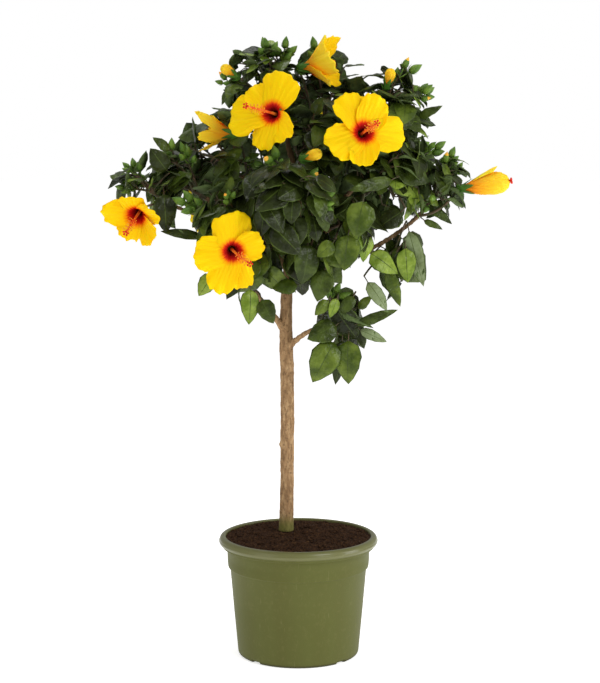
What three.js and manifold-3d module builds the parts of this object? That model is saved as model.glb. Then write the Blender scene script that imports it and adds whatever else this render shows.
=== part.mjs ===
// A hibiscus shrub grown as a small standard: one woody trunk in a round nursery pot,
// a loose crown of leafy masses carried on separate boughs, and large five-petalled blooms.
// Millimetres, +Z up. The origin is the centre of the pot's flat underside.

import * as THREE from 'three';
import { mergeVertices } from 'three/addons/utils/BufferGeometryUtils.js';
import Module from 'manifold-3d';

const wasm = await Module();
wasm.setup();

// ---------------------------------------------------------------- driving sizes

const GAP = 0.3; // left between neighbouring solids
const SMOOTHING = 0.1; // how far fusing may move a face to save slivers

const POT = {
  rimRadius: 110,
  rimTop: 167,
  rollWidth: 6,
  rollHeight: 6.5,
  beadRadius: 105.5,
  neckZ: 151.5,
  collarRadius: 98.5,
  stepRadius: 97.5,
  stepZ: 125,
  wallRadius: 94.4,
  wallZ: 122.5,
  baseRadius: 84,
  corner: 5,
  wall: 2,
  sides: 32,
};

const NOTCH = { width: 14, height: 5, depth: 20, count: 4 };
const SOIL = { edgeZ: 165, topZ: 167.5, flatRadius: 46 };

const TRUNK = {
  points: [
    [-17, 20, SOIL.topZ + GAP],
    [-16, 20, 235],
    [-15, 17, 308],
    [-15, 13, 381],
    [-17, 9, 454],
    [-14, 5, 527],
    [-4, 2, 600],
  ],
  radius: 9.5,
  tipRadius: 6.2,
  taperFrom: 0.6,
  flare: 1.5,
  flareRate: 22,
  sides: 10,
  steps: 15,
};

// Each bough and the mass of foliage that it carries. The bough leaves its parent limb at a
// fraction of that limb's length and runs by way of an optional knee to its end, where the mass's
// stem takes over and runs on to the heart. Reach is the radius of the mass's space, and tips are
// the places outside that its furthest twigs grow to.
const CROWN = {
  centre: { from: 'trunk', at: 1, end: [8, -6, 688], thick: 11, heart: [16, -12, 716], reach: 62 },
  top_left: {
    from: 'centre', at: 0.45, end: [-26, 12, 746], thick: 8, heart: [-44, 16, 784], reach: 56,
    tips: [[-41, 0, 826], [-20, 6, 824]],
  },
  top: {
    from: 'centre', at: 0.8, end: [32, 36, 734], thick: 8, heart: [42, 54, 768], reach: 62,
    tips: [[66, 12, 812], [24, 30, 820]],
  },
  top_right: {
    from: 'centre', at: 0.3, end: [96, 12, 716], thick: 8.5, heart: [122, 20, 746], reach: 58,
    tips: [[137, 0, 798], [168, 6, 770]],
  },
  upper_left: {
    from: 'trunk', at: 0.97, end: [-78, 14, 662], thick: 9, heart: [-108, 24, 694], reach: 60,
    tips: [[-150, 0, 717]],
  },
  left: {
    from: 'trunk', at: 0.89, knee: [-66, 10, 596], end: [-126, 6, 632], thick: 9.5,
    heart: [-160, 18, 652], reach: 54, tips: [[-176, 0, 690]],
  },
  far_left: {
    from: 'left', at: 0.55, knee: [-140, -22, 606], end: [-184, -14, 632], thick: 6.5,
    heart: [-212, -8, 656], reach: 42, tips: [[-224, -4, 668], [-226, -4, 644]],
  },
  right: {
    from: 'trunk', at: 0.93, end: [82, -14, 634], thick: 9, heart: [118, -24, 662], reach: 60,
    tips: [[176, -4, 694]],
  },
  far_right: {
    from: 'trunk', at: 0.82, knee: [124, -22, 562], end: [172, -20, 622], thick: 7.5,
    heart: [192, -14, 650], reach: 42, tips: [[200, -4, 678], [212, -10, 652]],
  },
  right_low: {
    from: 'far_right', at: 0.45, end: [110, -37, 557], thick: 5.5,
    heart: [126, -34, 552], reach: 48, tips: [[168, -34, 556], [146, -36, 508]],
  },
  middle_right: {
    from: 'trunk', at: 0.86, end: [44, -34, 594], thick: 7.5, heart: [76, -44, 604], reach: 50,
    tips: [[92, -60, 560]],
  },
  low_right: {
    from: 'trunk', at: 0.6, end: [20, -22, 456], thick: 9, heart: [58, -26, 462], reach: 52,
    tips: [[46, -32, 500], [62, -40, 430]],
  },
  left_low: {
    from: 'trunk', at: 0.655, knee: [-42, -12, 486], end: [-60, -26, 508], thick: 9,
    heart: [-54, -30, 534], reach: 48, tips: [[-118, -34, 522], [-66, -38, 490]],
  },
  lower_centre: {
    from: 'trunk', at: 0.78, end: [8, -22, 536], thick: 7, heart: [16, -32, 566], reach: 54,
  },
  front_left: {
    from: 'trunk', at: 0.85, end: [-62, -40, 586], thick: 8, heart: [-96, -54, 612], reach: 50,
    tips: [[-138, -50, 622]],
  },
  front_centre: {
    from: 'trunk', at: 0.9, knee: [-14, -36, 590], end: [-12, -62, 620], thick: 8,
    heart: [-10, -92, 640], reach: 60, tips: [[-28, -100, 687]],
  },
  back_low: {
    from: 'trunk', at: 0.8, end: [2, 50, 556], thick: 8, heart: [8, 84, 584], reach: 58,
    tips: [[30, 120, 560]],
  },
  back_left: {
    from: 'trunk', at: 0.91, knee: [-40, 44, 600], end: [-78, 70, 640], thick: 9,
    heart: [-112, 108, 664], reach: 70, tips: [[-156, 142, 690]],
  },
  back_centre: {
    from: 'centre', at: 0.2, knee: [0, 44, 650], end: [6, 84, 692], thick: 8.5,
    heart: [5, 131, 718], reach: 68, tips: [[-24, 168, 764]],
  },
  back_right: {
    from: 'trunk', at: 0.95, knee: [44, 30, 610], end: [78, 64, 644], thick: 9,
    heart: [118, 104, 664], reach: 70, tips: [[166, 136, 692]],
  },
};

const BOUGH = { taper: 0.68, lift: 0.1, sides: 5, steps: 3 };
const STEM = { tipRadius: 1.8, sides: 4, steps: 2 };
const TWIG = {
  count: 4, evenAtLeast: 2, radius: 2.2, tipRadius: 1.2, reach: 0.74, lift: 0.16, sides: 3, steps: 1,
};
const LEAF = {
  perTwig: 6, length: 72, spread: 0.15, width: 0.66, fold: 0.04, widest: 0.42,
  forward: 0.5, outward: 1, droop: 0.9, faceFrom: [0, 10, 590], upturn: 0.4, scatter: 0.8, youngest: 0.7,
  tries: 10, step: 0.9, shrink: 0.05,
};
const BUD = { length: 24, width: 11, sunk: 4 };
const CLEARANCE = { neighbour: 1.6, bloom: 5, ball: 1.45, view: 30 };
const TURN = Math.PI * (3 - Math.sqrt(5)); // the golden angle

// Each bloom grows on a flowering shoot of its own. The shoot leaves a limb at a fraction of its
// length and ends in the calyx at base, from which the corolla points along axis. Flare is the
// angle in degrees that the petals turn outwards by, and a bloom with none is a furled bud.
const BLOOMS = {
  upper_left: {
    from: 'centre', at: 0.75, base: [-27, -82, 746], axis: [-0.42, -0.89, 0.16], petal: 60, flare: 88,
  },
  upper_right: {
    from: 'top_right', at: 0.45, base: [81, -84, 720], axis: [0.24, -0.93, 0.22], petal: 62, flare: 88,
  },
  lower_left: {
    from: 'front_left', at: 0.6, base: [-88, -96, 573], axis: [0.16, -0.95, -0.2], petal: 60, flare: 90,
  },
  far_left: {
    from: 'far_left', at: 0.8, base: [-209, -37, 621], axis: [-0.3, -0.85, -0.43], petal: 57, flare: 52,
  },
  top: {
    from: 'top', at: 0.7, base: [0, -8, 806], axis: [0.94, -0.22, 0.2], petal: 66, flare: 46,
  },
  side_left: {
    from: 'upper_left', at: 0.85, base: [-82, -12, 720], axis: [-0.93, 0.2, 0.08], petal: 55, flare: 32,
  },
  back_centre: {
    from: 'back_centre', at: 0.7, base: [54, 150, 708], axis: [0.2, 0.95, 0.15], petal: 60, flare: 88,
  },
  back_left: {
    from: 'back_left', at: 0.8, base: [-104, 142, 618], axis: [-0.35, 0.92, -0.15], petal: 62, flare: 88,
  },
  right_furled: {
    from: 'far_right', at: 0.9, knee: [192, -34, 612], base: [214, -24, 646], axis: [0.985, -0.05, 0.16],
    petal: 69, flare: 0,
  },
  front_furled: {
    from: 'front_centre', at: 0.8, base: [3, -94, 688], axis: [0.9, -0.3, 0.32], petal: 30, flare: 0,
  },
  top_left_furled: {
    from: 'top_left', at: 0.7, base: [-80, -4, 794], axis: [-0.82, -0.15, 0.55], petal: 28, flare: 0,
  },
  top_right_furled: {
    from: 'top_right', at: 0.85, base: [117, -6, 780], axis: [0.3, -0.2, 0.93], petal: 28, flare: 0,
  },
};

const SHOOT = { radius: 2.6, tipRadius: 2, lift: 0.22, sides: 4, steps: 3 };
const COROLLA = {
  tube: 9, tubeRadius: 3.4, throat: 12, thick: 1.3, steps: 18, rings: [6, 18], lobes: 5, perLobe: 4,
  notch: 0.24, wave: 2.2, furledRadius: 0.2,
};
const CALYX = { profile: [[0, -3], [7, 7], [5.2, 13]], sides: 6 };
const COLUMN = { reach: 0.92, radius: 1.8, headRadius: 4.6, sides: 4 };

const COLOURS = {
  pot: [0x67643a, 0.42],
  potting_mix: [0x32231a, 0.95],
  bark: [0x7a6450, 0.85],
  foliage: [0x24401c, 0.5],
  petals: [0xffc800, 0.6],
};

// ---------------------------------------------------------------- small tools

const vector = ([x, y, z]) => new THREE.Vector3(x, y, z);
const lerp = THREE.MathUtils.lerp;
const radians = THREE.MathUtils.degToRad;

// Random numbers from 0 to 1 that come out the same for the same seed.
function seeded(seed) {
  let state = (seed * 7919 + 12345) >>> 0;
  return () => {
    state = (Math.imul(state, 1664525) + 1013904223) >>> 0;
    return state / 4294967296;
  };
}

// A geometry with nothing but its positions, each place held once.
function bare(geometry) {
  const copy = geometry.clone();
  for (const name of Object.keys(copy.attributes)) {
    if (name !== 'position') copy.deleteAttribute(name);
  }
  return mergeVertices(copy, 1e-4);
}

// A closed geometry as a manifold solid, without the faces that have shrunk to a line.
function solid(geometry) {
  const merged = bare(geometry);
  const corners = merged.index.array;
  const kept = [];
  for (let i = 0; i < corners.length; i += 3) {
    const [a, b, c] = corners.slice(i, i + 3);
    if (a !== b && b !== c && c !== a) kept.push(a, b, c);
  }
  return new wasm.Manifold(new wasm.Mesh({
    numProp: 3,
    vertProperties: Float32Array.from(merged.attributes.position.array),
    triVerts: Uint32Array.from(kept),
  }));
}

// The largest connected piece of a solid, which leaves out loose scraps and sealed hollows.
function largest(body) {
  const pieces = body.decompose();
  return pieces.reduce((best, piece) => (piece.volume() > best.volume() ? piece : best));
}

function fused(parts) {
  return largest(parts.reduce((whole, part) => whole.add(part)).simplify(SMOOTHING));
}

function geometryOf(body) {
  const { vertProperties, triVerts } = body.getMesh();
  const geometry = new THREE.BufferGeometry();
  geometry.setAttribute('position', new THREE.BufferAttribute(vertProperties, 3));
  geometry.setIndex(new THREE.BufferAttribute(triVerts, 1));
  geometry.computeVertexNormals();
  return geometry;
}

// Points on an arc of an ellipse, with angles in degrees from the outward direction.
function arc(centreR, centreZ, radiusR, radiusZ, from, to, steps) {
  return Array.from({ length: steps + 1 }, (_, i) => {
    const angle = radians(lerp(from, to, i / steps));
    return [centreR + radiusR * Math.cos(angle), centreZ + radiusZ * Math.sin(angle)];
  });
}

// A profile of [radius, height] points turned round the Z axis.
function turned(profile, sides) {
  const points = profile.map(([radius, height]) => new THREE.Vector2(radius, height));
  return new THREE.LatheGeometry(points, sides).rotateX(Math.PI / 2);
}

// ---------------------------------------------------------------- pot and potting mix

// The inside of the pot's wall from the floor up to the rim, drawn inwards by shrink.
function insideProfile(shrink) {
  const { baseRadius, wallRadius, wallZ, stepZ, stepRadius, collarRadius, neckZ, wall } = POT;
  return [
    [baseRadius - wall - shrink, wall + 1 + shrink],
    [wallRadius - wall - shrink, wallZ],
    [stepRadius - wall - shrink, stepZ + 3],
    [collarRadius - wall - shrink, neckZ],
    [collarRadius + wall - shrink, neckZ + 6],
    [collarRadius + wall - shrink, SOIL.edgeZ],
  ];
}

function potSolid() {
  const { rimRadius, rimTop, rollWidth, rollHeight, beadRadius, neckZ, baseRadius, corner } = POT;
  const outside = [
    [0, 0],
    ...arc(baseRadius - corner, corner, corner, corner, -90, 0, 1),
    [POT.wallRadius, POT.wallZ],
    [POT.stepRadius, POT.stepZ],
    [POT.collarRadius, neckZ],
    [beadRadius, neckZ + 1.5],
    [beadRadius, neckZ + 4],
    ...arc(rimRadius - rollWidth, rimTop - rollHeight, rollWidth, rollHeight, -40, 90, 4),
    [POT.collarRadius + 3, rimTop - 1.2],
  ];
  const inside = [...insideProfile(0).reverse(), [0, POT.wall + 1]];
  let pot = solid(turned([...outside, ...inside], POT.sides));
  for (let i = 0; i < NOTCH.count; i += 1) {
    const notch = new THREE.BoxGeometry(NOTCH.depth, NOTCH.width, NOTCH.height * 2);
    notch.translate(baseRadius, 0, 0).rotateZ(((i + 0.5) * 2 * Math.PI) / NOTCH.count);
    pot = pot.subtract(solid(notch));
  }
  return pot;
}

// The mix fills the pot, and rises from its edge to a flat round the foot of the trunk.
function mixSolid() {
  const { edgeZ, topZ, flatRadius } = SOIL;
  const side = insideProfile(GAP);
  const shoulder = [lerp(side.at(-1)[0], flatRadius, 0.5), lerp(edgeZ, topZ, 0.75)];
  const mound = [shoulder, [flatRadius, topZ], [0, topZ]];
  return solid(turned([[0, side[0][1]], ...side, ...mound], POT.sides));
}

// ---------------------------------------------------------------- limbs

// A limb is a curve and a radius at each fraction of it.
function tapering(curve, radius, tipRadius) {
  return { curve, radius: (t) => lerp(radius, tipRadius, t) };
}

// From start to end by way of a knee, which lies halfway and a little raised unless it is given.
function bowed(start, end, lift, knee) {
  const middle = knee ? vector(knee) : start.clone().lerp(end, 0.5);
  if (!knee) middle.z += lift * start.distanceTo(end);
  return new THREE.QuadraticBezierCurve3(start, middle, end);
}

// The curve's direction at t and two directions square to it.
function frameAt(curve, t) {
  const chord = curve.getPoint(1).sub(curve.getPoint(0)).normalize();
  const level = Math.abs(chord.y) < 0.7 ? new THREE.Vector3(0, 1, 0) : new THREE.Vector3(1, 0, 0);
  const along = curve.getTangent(t).normalize();
  const side = new THREE.Vector3().crossVectors(along, level).normalize();
  const across = new THREE.Vector3().crossVectors(side, along);
  return { along, side, across };
}

// A cylinder whose rings are moved onto the limb's curve. Grow makes it that much larger all over.
function limbSolid(limb, sides, steps, grow = 0) {
  const geometry = new THREE.CylinderGeometry(1, 1, 1, sides, steps);
  const places = geometry.attributes.position;
  for (let i = 0; i < places.count; i += 1) {
    const t = THREE.MathUtils.clamp(places.getY(i) + 0.5, 0, 1);
    const { along, side, across } = frameAt(limb.curve, t);
    const radius = limb.radius(t) + grow;
    const overrun = (t > 0.999) * grow - (t < 0.001) * grow;
    const point = limb.curve.getPoint(t)
      .addScaledVector(along, overrun)
      .addScaledVector(side, radius * places.getX(i))
      .addScaledVector(across, radius * places.getZ(i));
    places.setXYZ(i, point.x, point.y, point.z);
  }
  return solid(geometry);
}

const limbs = {};    // every limb by name, for what grows from it
const hollows = [];  // the same limbs, larger by the gap, for what keeps clear of them
const flowers = [];  // every bloom, for the leaves to keep clear of

// Adds a limb that starts on the axis of its parent and is cut clear of every earlier limb.
function growLimb(name, limb, sides, steps) {
  limbs[name] = limb;
  const cut = hollows.reduce((body, hollow) => body.subtract(hollow), limbSolid(limb, sides, steps));
  hollows.push(limbSolid(limb, sides, steps, GAP * 1.2));
  return largest(cut);
}

function trunkLimb() {
  const curve = new THREE.CatmullRomCurve3(TRUNK.points.map(vector), false, 'catmullrom', 0.5);
  const { radius, tipRadius, taperFrom, flare, flareRate } = TRUNK;
  const thinning = (t) => Math.max(0, (t - taperFrom) / (1 - taperFrom));
  return { curve, radius: (t) => lerp(radius, tipRadius, thinning(t)) + flare * Math.exp(-flareRate * t) };
}

function boughLimb({ from, at, end, knee, thick }) {
  const start = limbs[from].curve.getPoint(at);
  return tapering(bowed(start, vector(end), BOUGH.lift, knee), thick / 2, (thick / 2) * BOUGH.taper);
}

function shootLimb({ from, at, base, knee }) {
  const start = limbs[from].curve.getPoint(at);
  return tapering(bowed(start, vector(base), SHOOT.lift, knee), SHOOT.radius, SHOOT.tipRadius);
}

// ---------------------------------------------------------------- blooms

// The corolla's middle line from calyx to margin as [radius, height]: each step goes on in a
// direction that turns from straight ahead in the tube to the flare angle at the throat.
function corollaLine({ petal, flare }) {
  const { steps } = COROLLA;
  const line = [[COROLLA.tubeRadius, 0]];
  for (let i = 0; i < steps; i += 1) {
    const way = ((i + 0.5) / steps) * petal;
    const turn = THREE.MathUtils.smoothstep(way, COROLLA.tube * 0.5, COROLLA.tube + COROLLA.throat * 1.6);
    const angle = radians(lerp(12, flare, turn));
    const [radius, height] = line.at(-1);
    line.push([radius + (Math.sin(angle) * petal) / steps, height + (Math.cos(angle) * petal) / steps]);
  }
  return line;
}

// An open corolla with its calyx: a turned funnel of even thickness, whose margin is drawn in
// between the lobes and waves up and down.
function openCorolla(bloom) {
  const whole = corollaLine(bloom);
  const line = COROLLA.rings.map((ring) => whole[ring]);
  const { thick } = COROLLA;
  const inner = line.map(([radius, height]) => [radius - thick / 2, height + thick]).reverse();
  const profile = [...CALYX.profile, ...line, ...inner, [0, CALYX.profile.at(-1)[1]]];
  const points = profile.map(([radius, height]) => new THREE.Vector2(radius, height));
  const geometry = new THREE.LatheGeometry(points, COROLLA.lobes * COROLLA.perLobe);
  const places = geometry.attributes.position;
  for (let i = 0; i < places.count; i += 1) {
    const [x, y, z] = [places.getX(i), places.getY(i), places.getZ(i)];
    const radius = Math.hypot(x, z);
    const out = THREE.MathUtils.smoothstep(radius, bloom.petal * 0.35, bloom.petal * 0.85);
    const lobe = Math.cos(COROLLA.lobes * Math.atan2(x, z)) * 0.5 + 0.5;
    const shrink = 1 - COROLLA.notch * out * (1 - Math.sqrt(lobe));
    places.setXYZ(i, x * shrink, y + COROLLA.wave * out * (2 * lobe - 1), z * shrink);
  }
  return geometry;
}

// A furled corolla with its calyx: a spindle, widest a little beyond its middle, with a blunt tip.
function furledCorolla({ petal }) {
  const widest = petal * COROLLA.furledRadius + 2;
  const profile = [...CALYX.profile, [widest, petal * 0.7], [widest * 0.8, petal * 0.93], [0, petal]];
  const points = profile.map(([radius, height]) => new THREE.Vector2(radius, height));
  return new THREE.LatheGeometry(points, CALYX.sides);
}

// The staminal column, which swells to its head of anthers and stigmas.
function columnGeometry({ petal }) {
  const { reach, radius, headRadius, sides } = COLUMN;
  const points = [[0, 0], [radius * 1.3, 0.1], [radius, 0.7], [headRadius, 0.88], [0, 1]];
  return new THREE.LatheGeometry(points.map(([r, t]) => new THREE.Vector2(r, t * petal * reach)), sides);
}

// Turns what was made along +Y to stand on base and point along axis.
function standing(geometry, { base, axis }) {
  const ahead = vector(axis).normalize();
  const side = new THREE.Vector3().crossVectors(ahead, new THREE.Vector3(0.05, 0.02, 1)).normalize();
  const across = new THREE.Vector3().crossVectors(side, ahead);
  const place = new THREE.Matrix4().makeBasis(side, ahead, across).setPosition(vector(base));
  return geometry.applyMatrix4(place);
}

function bloomSolid(bloom, shoot) {
  const flower = bloom.flare > 0 ? [openCorolla(bloom), columnGeometry(bloom)] : [furledCorolla(bloom)];
  const body = fused([shoot, ...flower.map((geometry) => solid(standing(geometry, bloom)))]);
  flowers.push(body);
  return body;
}

// Whether a point is in the way of a bloom: within its cup, close behind its petals, or in view
// just in front of a face that is fully open.
function meetsBloom(point) {
  return Object.values(BLOOMS).some((bloom) => {
    const ahead = vector(bloom.axis).normalize();
    const away = point.clone().sub(vector(bloom.base));
    const height = away.dot(ahead);
    const radius = Math.sqrt(Math.max(0, away.lengthSq() - height * height));
    if (height < -CLEARANCE.bloom) return false;
    if (bloom.flare === 0) {
      const widest = bloom.petal * COROLLA.furledRadius + 2;
      return height < bloom.petal + CLEARANCE.bloom && radius < widest + CLEARANCE.bloom;
    }
    const line = corollaLine(bloom);
    const front = height < bloom.petal * COLUMN.reach + (bloom.flare > 50 ? CLEARANCE.view : 0);
    const behind = line.find(([ringRadius]) => ringRadius >= radius - CLEARANCE.bloom);
    return front && behind !== undefined && height > behind[1] - CLEARANCE.bloom - COROLLA.wave;
  });
}

// ---------------------------------------------------------------- masses of foliage

// How far a point lies inside the space of one mass. The space is bounded by the plane halfway
// between it and each neighbour, moved in proportion to their reaches.
function roomInSpace(name, point) {
  const { heart, reach } = CROWN[name];
  const own = vector(heart);
  const power = own.distanceToSquared(point) - reach * reach;
  let room = reach * CLEARANCE.ball - own.distanceTo(point);
  for (const [other, mass] of Object.entries(CROWN)) {
    if (other === name) continue;
    const centre = vector(mass.heart);
    const difference = centre.distanceToSquared(point) - mass.reach * mass.reach - power;
    room = Math.min(room, difference / (2 * centre.distanceTo(own)) - CLEARANCE.neighbour);
  }
  return room;
}

// Whether all the points lie in a mass's space and out of the way of the blooms.
function inSpace(name, points) {
  return points.every((point) => roomInSpace(name, point) > 0 && !meetsBloom(point));
}

// A leaf as a slim wedge of four faces: a ridge from its root to its tip, and an edge on each side
// that hangs below the ridge.
function leafCorners({ root, ahead, face, length }) {
  const across = new THREE.Vector3().crossVectors(face, ahead).normalize();
  const beside = (side) => root.clone()
    .addScaledVector(ahead, LEAF.widest * length)
    .addScaledVector(across, (side * LEAF.width * length) / 2)
    .addScaledVector(face, -LEAF.fold * length);
  return [root, root.clone().addScaledVector(ahead, length), beside(1), beside(-1)];
}

function wedge(corners) {
  const geometry = new THREE.BufferGeometry().setFromPoints(corners);
  geometry.setIndex([0, 3, 1, 0, 1, 2, 0, 2, 3, 1, 3, 2]);
  return geometry;
}

function verticesOf(geometry) {
  const places = geometry.attributes.position;
  return Array.from({ length: places.count }, (_, i) => new THREE.Vector3().fromBufferAttribute(places, i));
}

// The corners of a leaf and the points halfway between each two of them.
function probesOf(corners) {
  return corners.flatMap((point, i) => corners.slice(i).map((other) => point.clone().lerp(other, 0.5)));
}

const meets = (body) => (other) => !other.intersect(body).isEmpty();

// The leaves of one twig, which stand round it a golden angle apart and clear of what is in the way.
// One that has no room is turned further round and made a little smaller, and is left out when that
// doesn't help.
function leavesOn(name, twig, random, inTheWay) {
  const leaves = [];
  for (let i = 0; i < LEAF.perTwig; i += 1) {
    const t = (i + 0.8) / LEAF.perTwig;
    const { along, side, across } = frameAt(twig.curve, Math.min(t, 1));
    const size = LEAF.length * (1 + LEAF.spread * (2 * random() - 1)) * lerp(1, LEAF.youngest, t);
    const start = i * TURN + random();
    const turn = new THREE.Vector3(2 * random() - 1, 2 * random() - 1, 2 * random() - 1);
    for (let attempt = 0; attempt < LEAF.tries; attempt += 1) {
      const angle = start + attempt * LEAF.step;
      const outward = side.clone().multiplyScalar(Math.cos(angle)).addScaledVector(across, Math.sin(angle));
      const ahead = along.clone().multiplyScalar(LEAF.forward)
        .addScaledVector(outward, LEAF.outward)
        .add(new THREE.Vector3(0, 0, -LEAF.droop)).normalize();
      const root = twig.curve.getPoint(Math.min(t, 0.96));
      const face = root.clone().sub(vector(LEAF.faceFrom)).normalize()
        .add(new THREE.Vector3(0, 0, LEAF.upturn)).addScaledVector(turn, LEAF.scatter);
      face.addScaledVector(ahead, -face.dot(ahead)).normalize();
      const corners = leafCorners({ root, ahead, face, length: size * (1 - LEAF.shrink * attempt) });
      if (!inSpace(name, probesOf(corners))) continue;
      const leaf = solid(wedge(corners));
      if ([...hollows, ...flowers, ...inTheWay, ...leaves].some(meets(leaf))) continue;
      leaves.push(leaf);
      break;
    }
  }
  return leaves;
}

// The cluster of flower buds at the end of a twig, as one pointed body.
function budCluster(twig) {
  const geometry = new THREE.OctahedronGeometry(1).scale(BUD.width / 2, BUD.length / 2, BUD.width / 2)
    .translate(0, BUD.length / 2 - BUD.sunk, 0);
  const axis = twig.curve.getTangent(1).toArray();
  return standing(geometry, { base: twig.curve.getPoint(1).toArray(), axis });
}

// Where a mass's twigs grow to: its furthest tips, and places spread evenly over its space.
function twigTargets({ heart, reach, tips = [] }) {
  const count = Math.max(TWIG.evenAtLeast, TWIG.count - tips.length);
  const even = Array.from({ length: count }, (_, i) => {
    const z = 1 - (2 * (i + 0.5)) / count;
    const ring = Math.sqrt(1 - z * z);
    return new THREE.Vector3(ring * Math.cos(i * TURN), ring * Math.sin(i * TURN), z)
      .multiplyScalar(reach * TWIG.reach).add(vector(heart));
  });
  return [...tips.map(vector), ...even];
}

function massSolid(name, index) {
  const mass = CROWN[name];
  const bough = limbs[name];
  const random = seeded(index + 1);
  const start = bough.curve.getPoint(1).addScaledVector(bough.curve.getTangent(1), GAP);
  const ahead = start.distanceTo(vector(mass.heart)) * 0.4;
  const knee = start.clone().addScaledVector(bough.curve.getTangent(1), ahead);
  const stem = tapering(
    new THREE.QuadraticBezierCurve3(start, knee, vector(mass.heart)), bough.radius(1) * 0.9, STEM.tipRadius,
  );
  const leafy = [{ ...stem, body: limbSolid(stem, STEM.sides, STEM.steps) }];
  const buds = [];
  twigTargets(mass).forEach((target, k, targets) => {
    const root = stem.curve.getPoint(lerp(0.3, 0.95, (k + 0.5) / targets.length));
    const twig = tapering(bowed(root, target, TWIG.lift), TWIG.radius, TWIG.tipRadius);
    const body = limbSolid(twig, TWIG.sides, TWIG.steps);
    if (!inSpace(name, twig.curve.getPoints(8)) || [...hollows, ...flowers].some(meets(body))) return;
    leafy.push({ ...twig, body });
    const bud = budCluster(twig);
    if (k < (mass.tips ?? []).length && inSpace(name, verticesOf(bud))) buds.push(solid(bud));
  });
  const wood = [...leafy.map(({ body }) => body), ...buds];
  const leaves = leafy.reduce((grown, twig) => {
    const inTheWay = [...wood.filter((body) => body !== twig.body), ...grown];
    return [...grown, ...leavesOn(name, twig, random, inTheWay)];
  }, []);
  return fused([...wood, ...leaves]);
}

// ---------------------------------------------------------------- the plant

const shrub = new THREE.Group();

function add(name, colour, body) {
  const [color, roughness] = COLOURS[colour];
  const material = new THREE.MeshStandardMaterial({ color, roughness, metalness: 0 });
  const mesh = new THREE.Mesh(geometryOf(body), material);
  mesh.name = name;
  shrub.add(mesh);
}

add('pot', 'pot', potSolid());
add('potting_mix', 'potting_mix', mixSolid());
add('trunk', 'bark', growLimb('trunk', trunkLimb(), TRUNK.sides, TRUNK.steps));

for (const [name, row] of Object.entries(CROWN)) {
  add(`bough_${name}`, 'bark', growLimb(name, boughLimb(row), BOUGH.sides, BOUGH.steps));
}
for (const [name, bloom] of Object.entries(BLOOMS)) {
  const shoot = growLimb(`shoot_${name}`, shootLimb(bloom), SHOOT.sides, SHOOT.steps);
  add(`bloom_${name}`, 'petals', bloomSolid(bloom, shoot));
}
Object.keys(CROWN).forEach((name, index) => add(`foliage_${name}`, 'foliage', massSolid(name, index)));

export default shrub;
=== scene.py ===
"""Looks of a hibiscus shrub grown as a small standard in a round nursery pot.

Sizes are in millimetres here and become metres where a mesh is made. The plant grows by the same
rule as its solids: limbs from named sizes, masses of foliage on a stem from each bough's tip, and
blooms on shoots of their own. Here the rule is carried on to side shoots, stalks and veined leaves.
"""

import math

import bpy
import numpy as np
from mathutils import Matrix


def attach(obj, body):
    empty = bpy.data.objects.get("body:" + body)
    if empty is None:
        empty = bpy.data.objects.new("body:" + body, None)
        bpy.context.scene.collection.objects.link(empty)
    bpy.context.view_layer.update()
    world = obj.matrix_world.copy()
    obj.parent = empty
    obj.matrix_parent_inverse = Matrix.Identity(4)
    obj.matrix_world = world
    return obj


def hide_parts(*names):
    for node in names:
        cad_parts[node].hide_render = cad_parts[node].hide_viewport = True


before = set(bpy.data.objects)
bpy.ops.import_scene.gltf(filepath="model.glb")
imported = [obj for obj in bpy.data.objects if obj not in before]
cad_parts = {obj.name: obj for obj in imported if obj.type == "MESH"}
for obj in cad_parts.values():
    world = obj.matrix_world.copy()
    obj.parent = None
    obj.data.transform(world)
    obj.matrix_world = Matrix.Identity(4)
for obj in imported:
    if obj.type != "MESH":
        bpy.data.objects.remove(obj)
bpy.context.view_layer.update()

# ------------------------------------------------------------------ sizes shared with the solids

MM = 0.001
GAP = 0.3
GOLDEN = math.pi * (3 - math.sqrt(5))

POT = {
    "rim_radius": 110, "rim_top": 167, "roll_width": 6, "roll_height": 6.5, "bead_radius": 105.5,
    "neck": 151.5, "collar_radius": 98.5, "step_radius": 97.5, "step": 125, "wall_radius": 94.4,
    "wall_top": 122.5, "base_radius": 84, "corner": 5, "wall": 2,
}
NOTCH = {"width": 14, "height": 5, "depth": 20, "count": 4}
SOIL = {"edge": 165, "top": 167.5, "flat_radius": 46}

TRUNK = {
    "points": [(-17, 20, 167.8), (-16, 20, 235), (-15, 17, 308), (-15, 13, 381), (-17, 9, 454),
               (-14, 5, 527), (-4, 2, 600)],
    "radius": 9.5, "tip_radius": 6.2, "taper_from": 0.6, "flare": 1.5, "flare_rate": 22,
}

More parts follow.
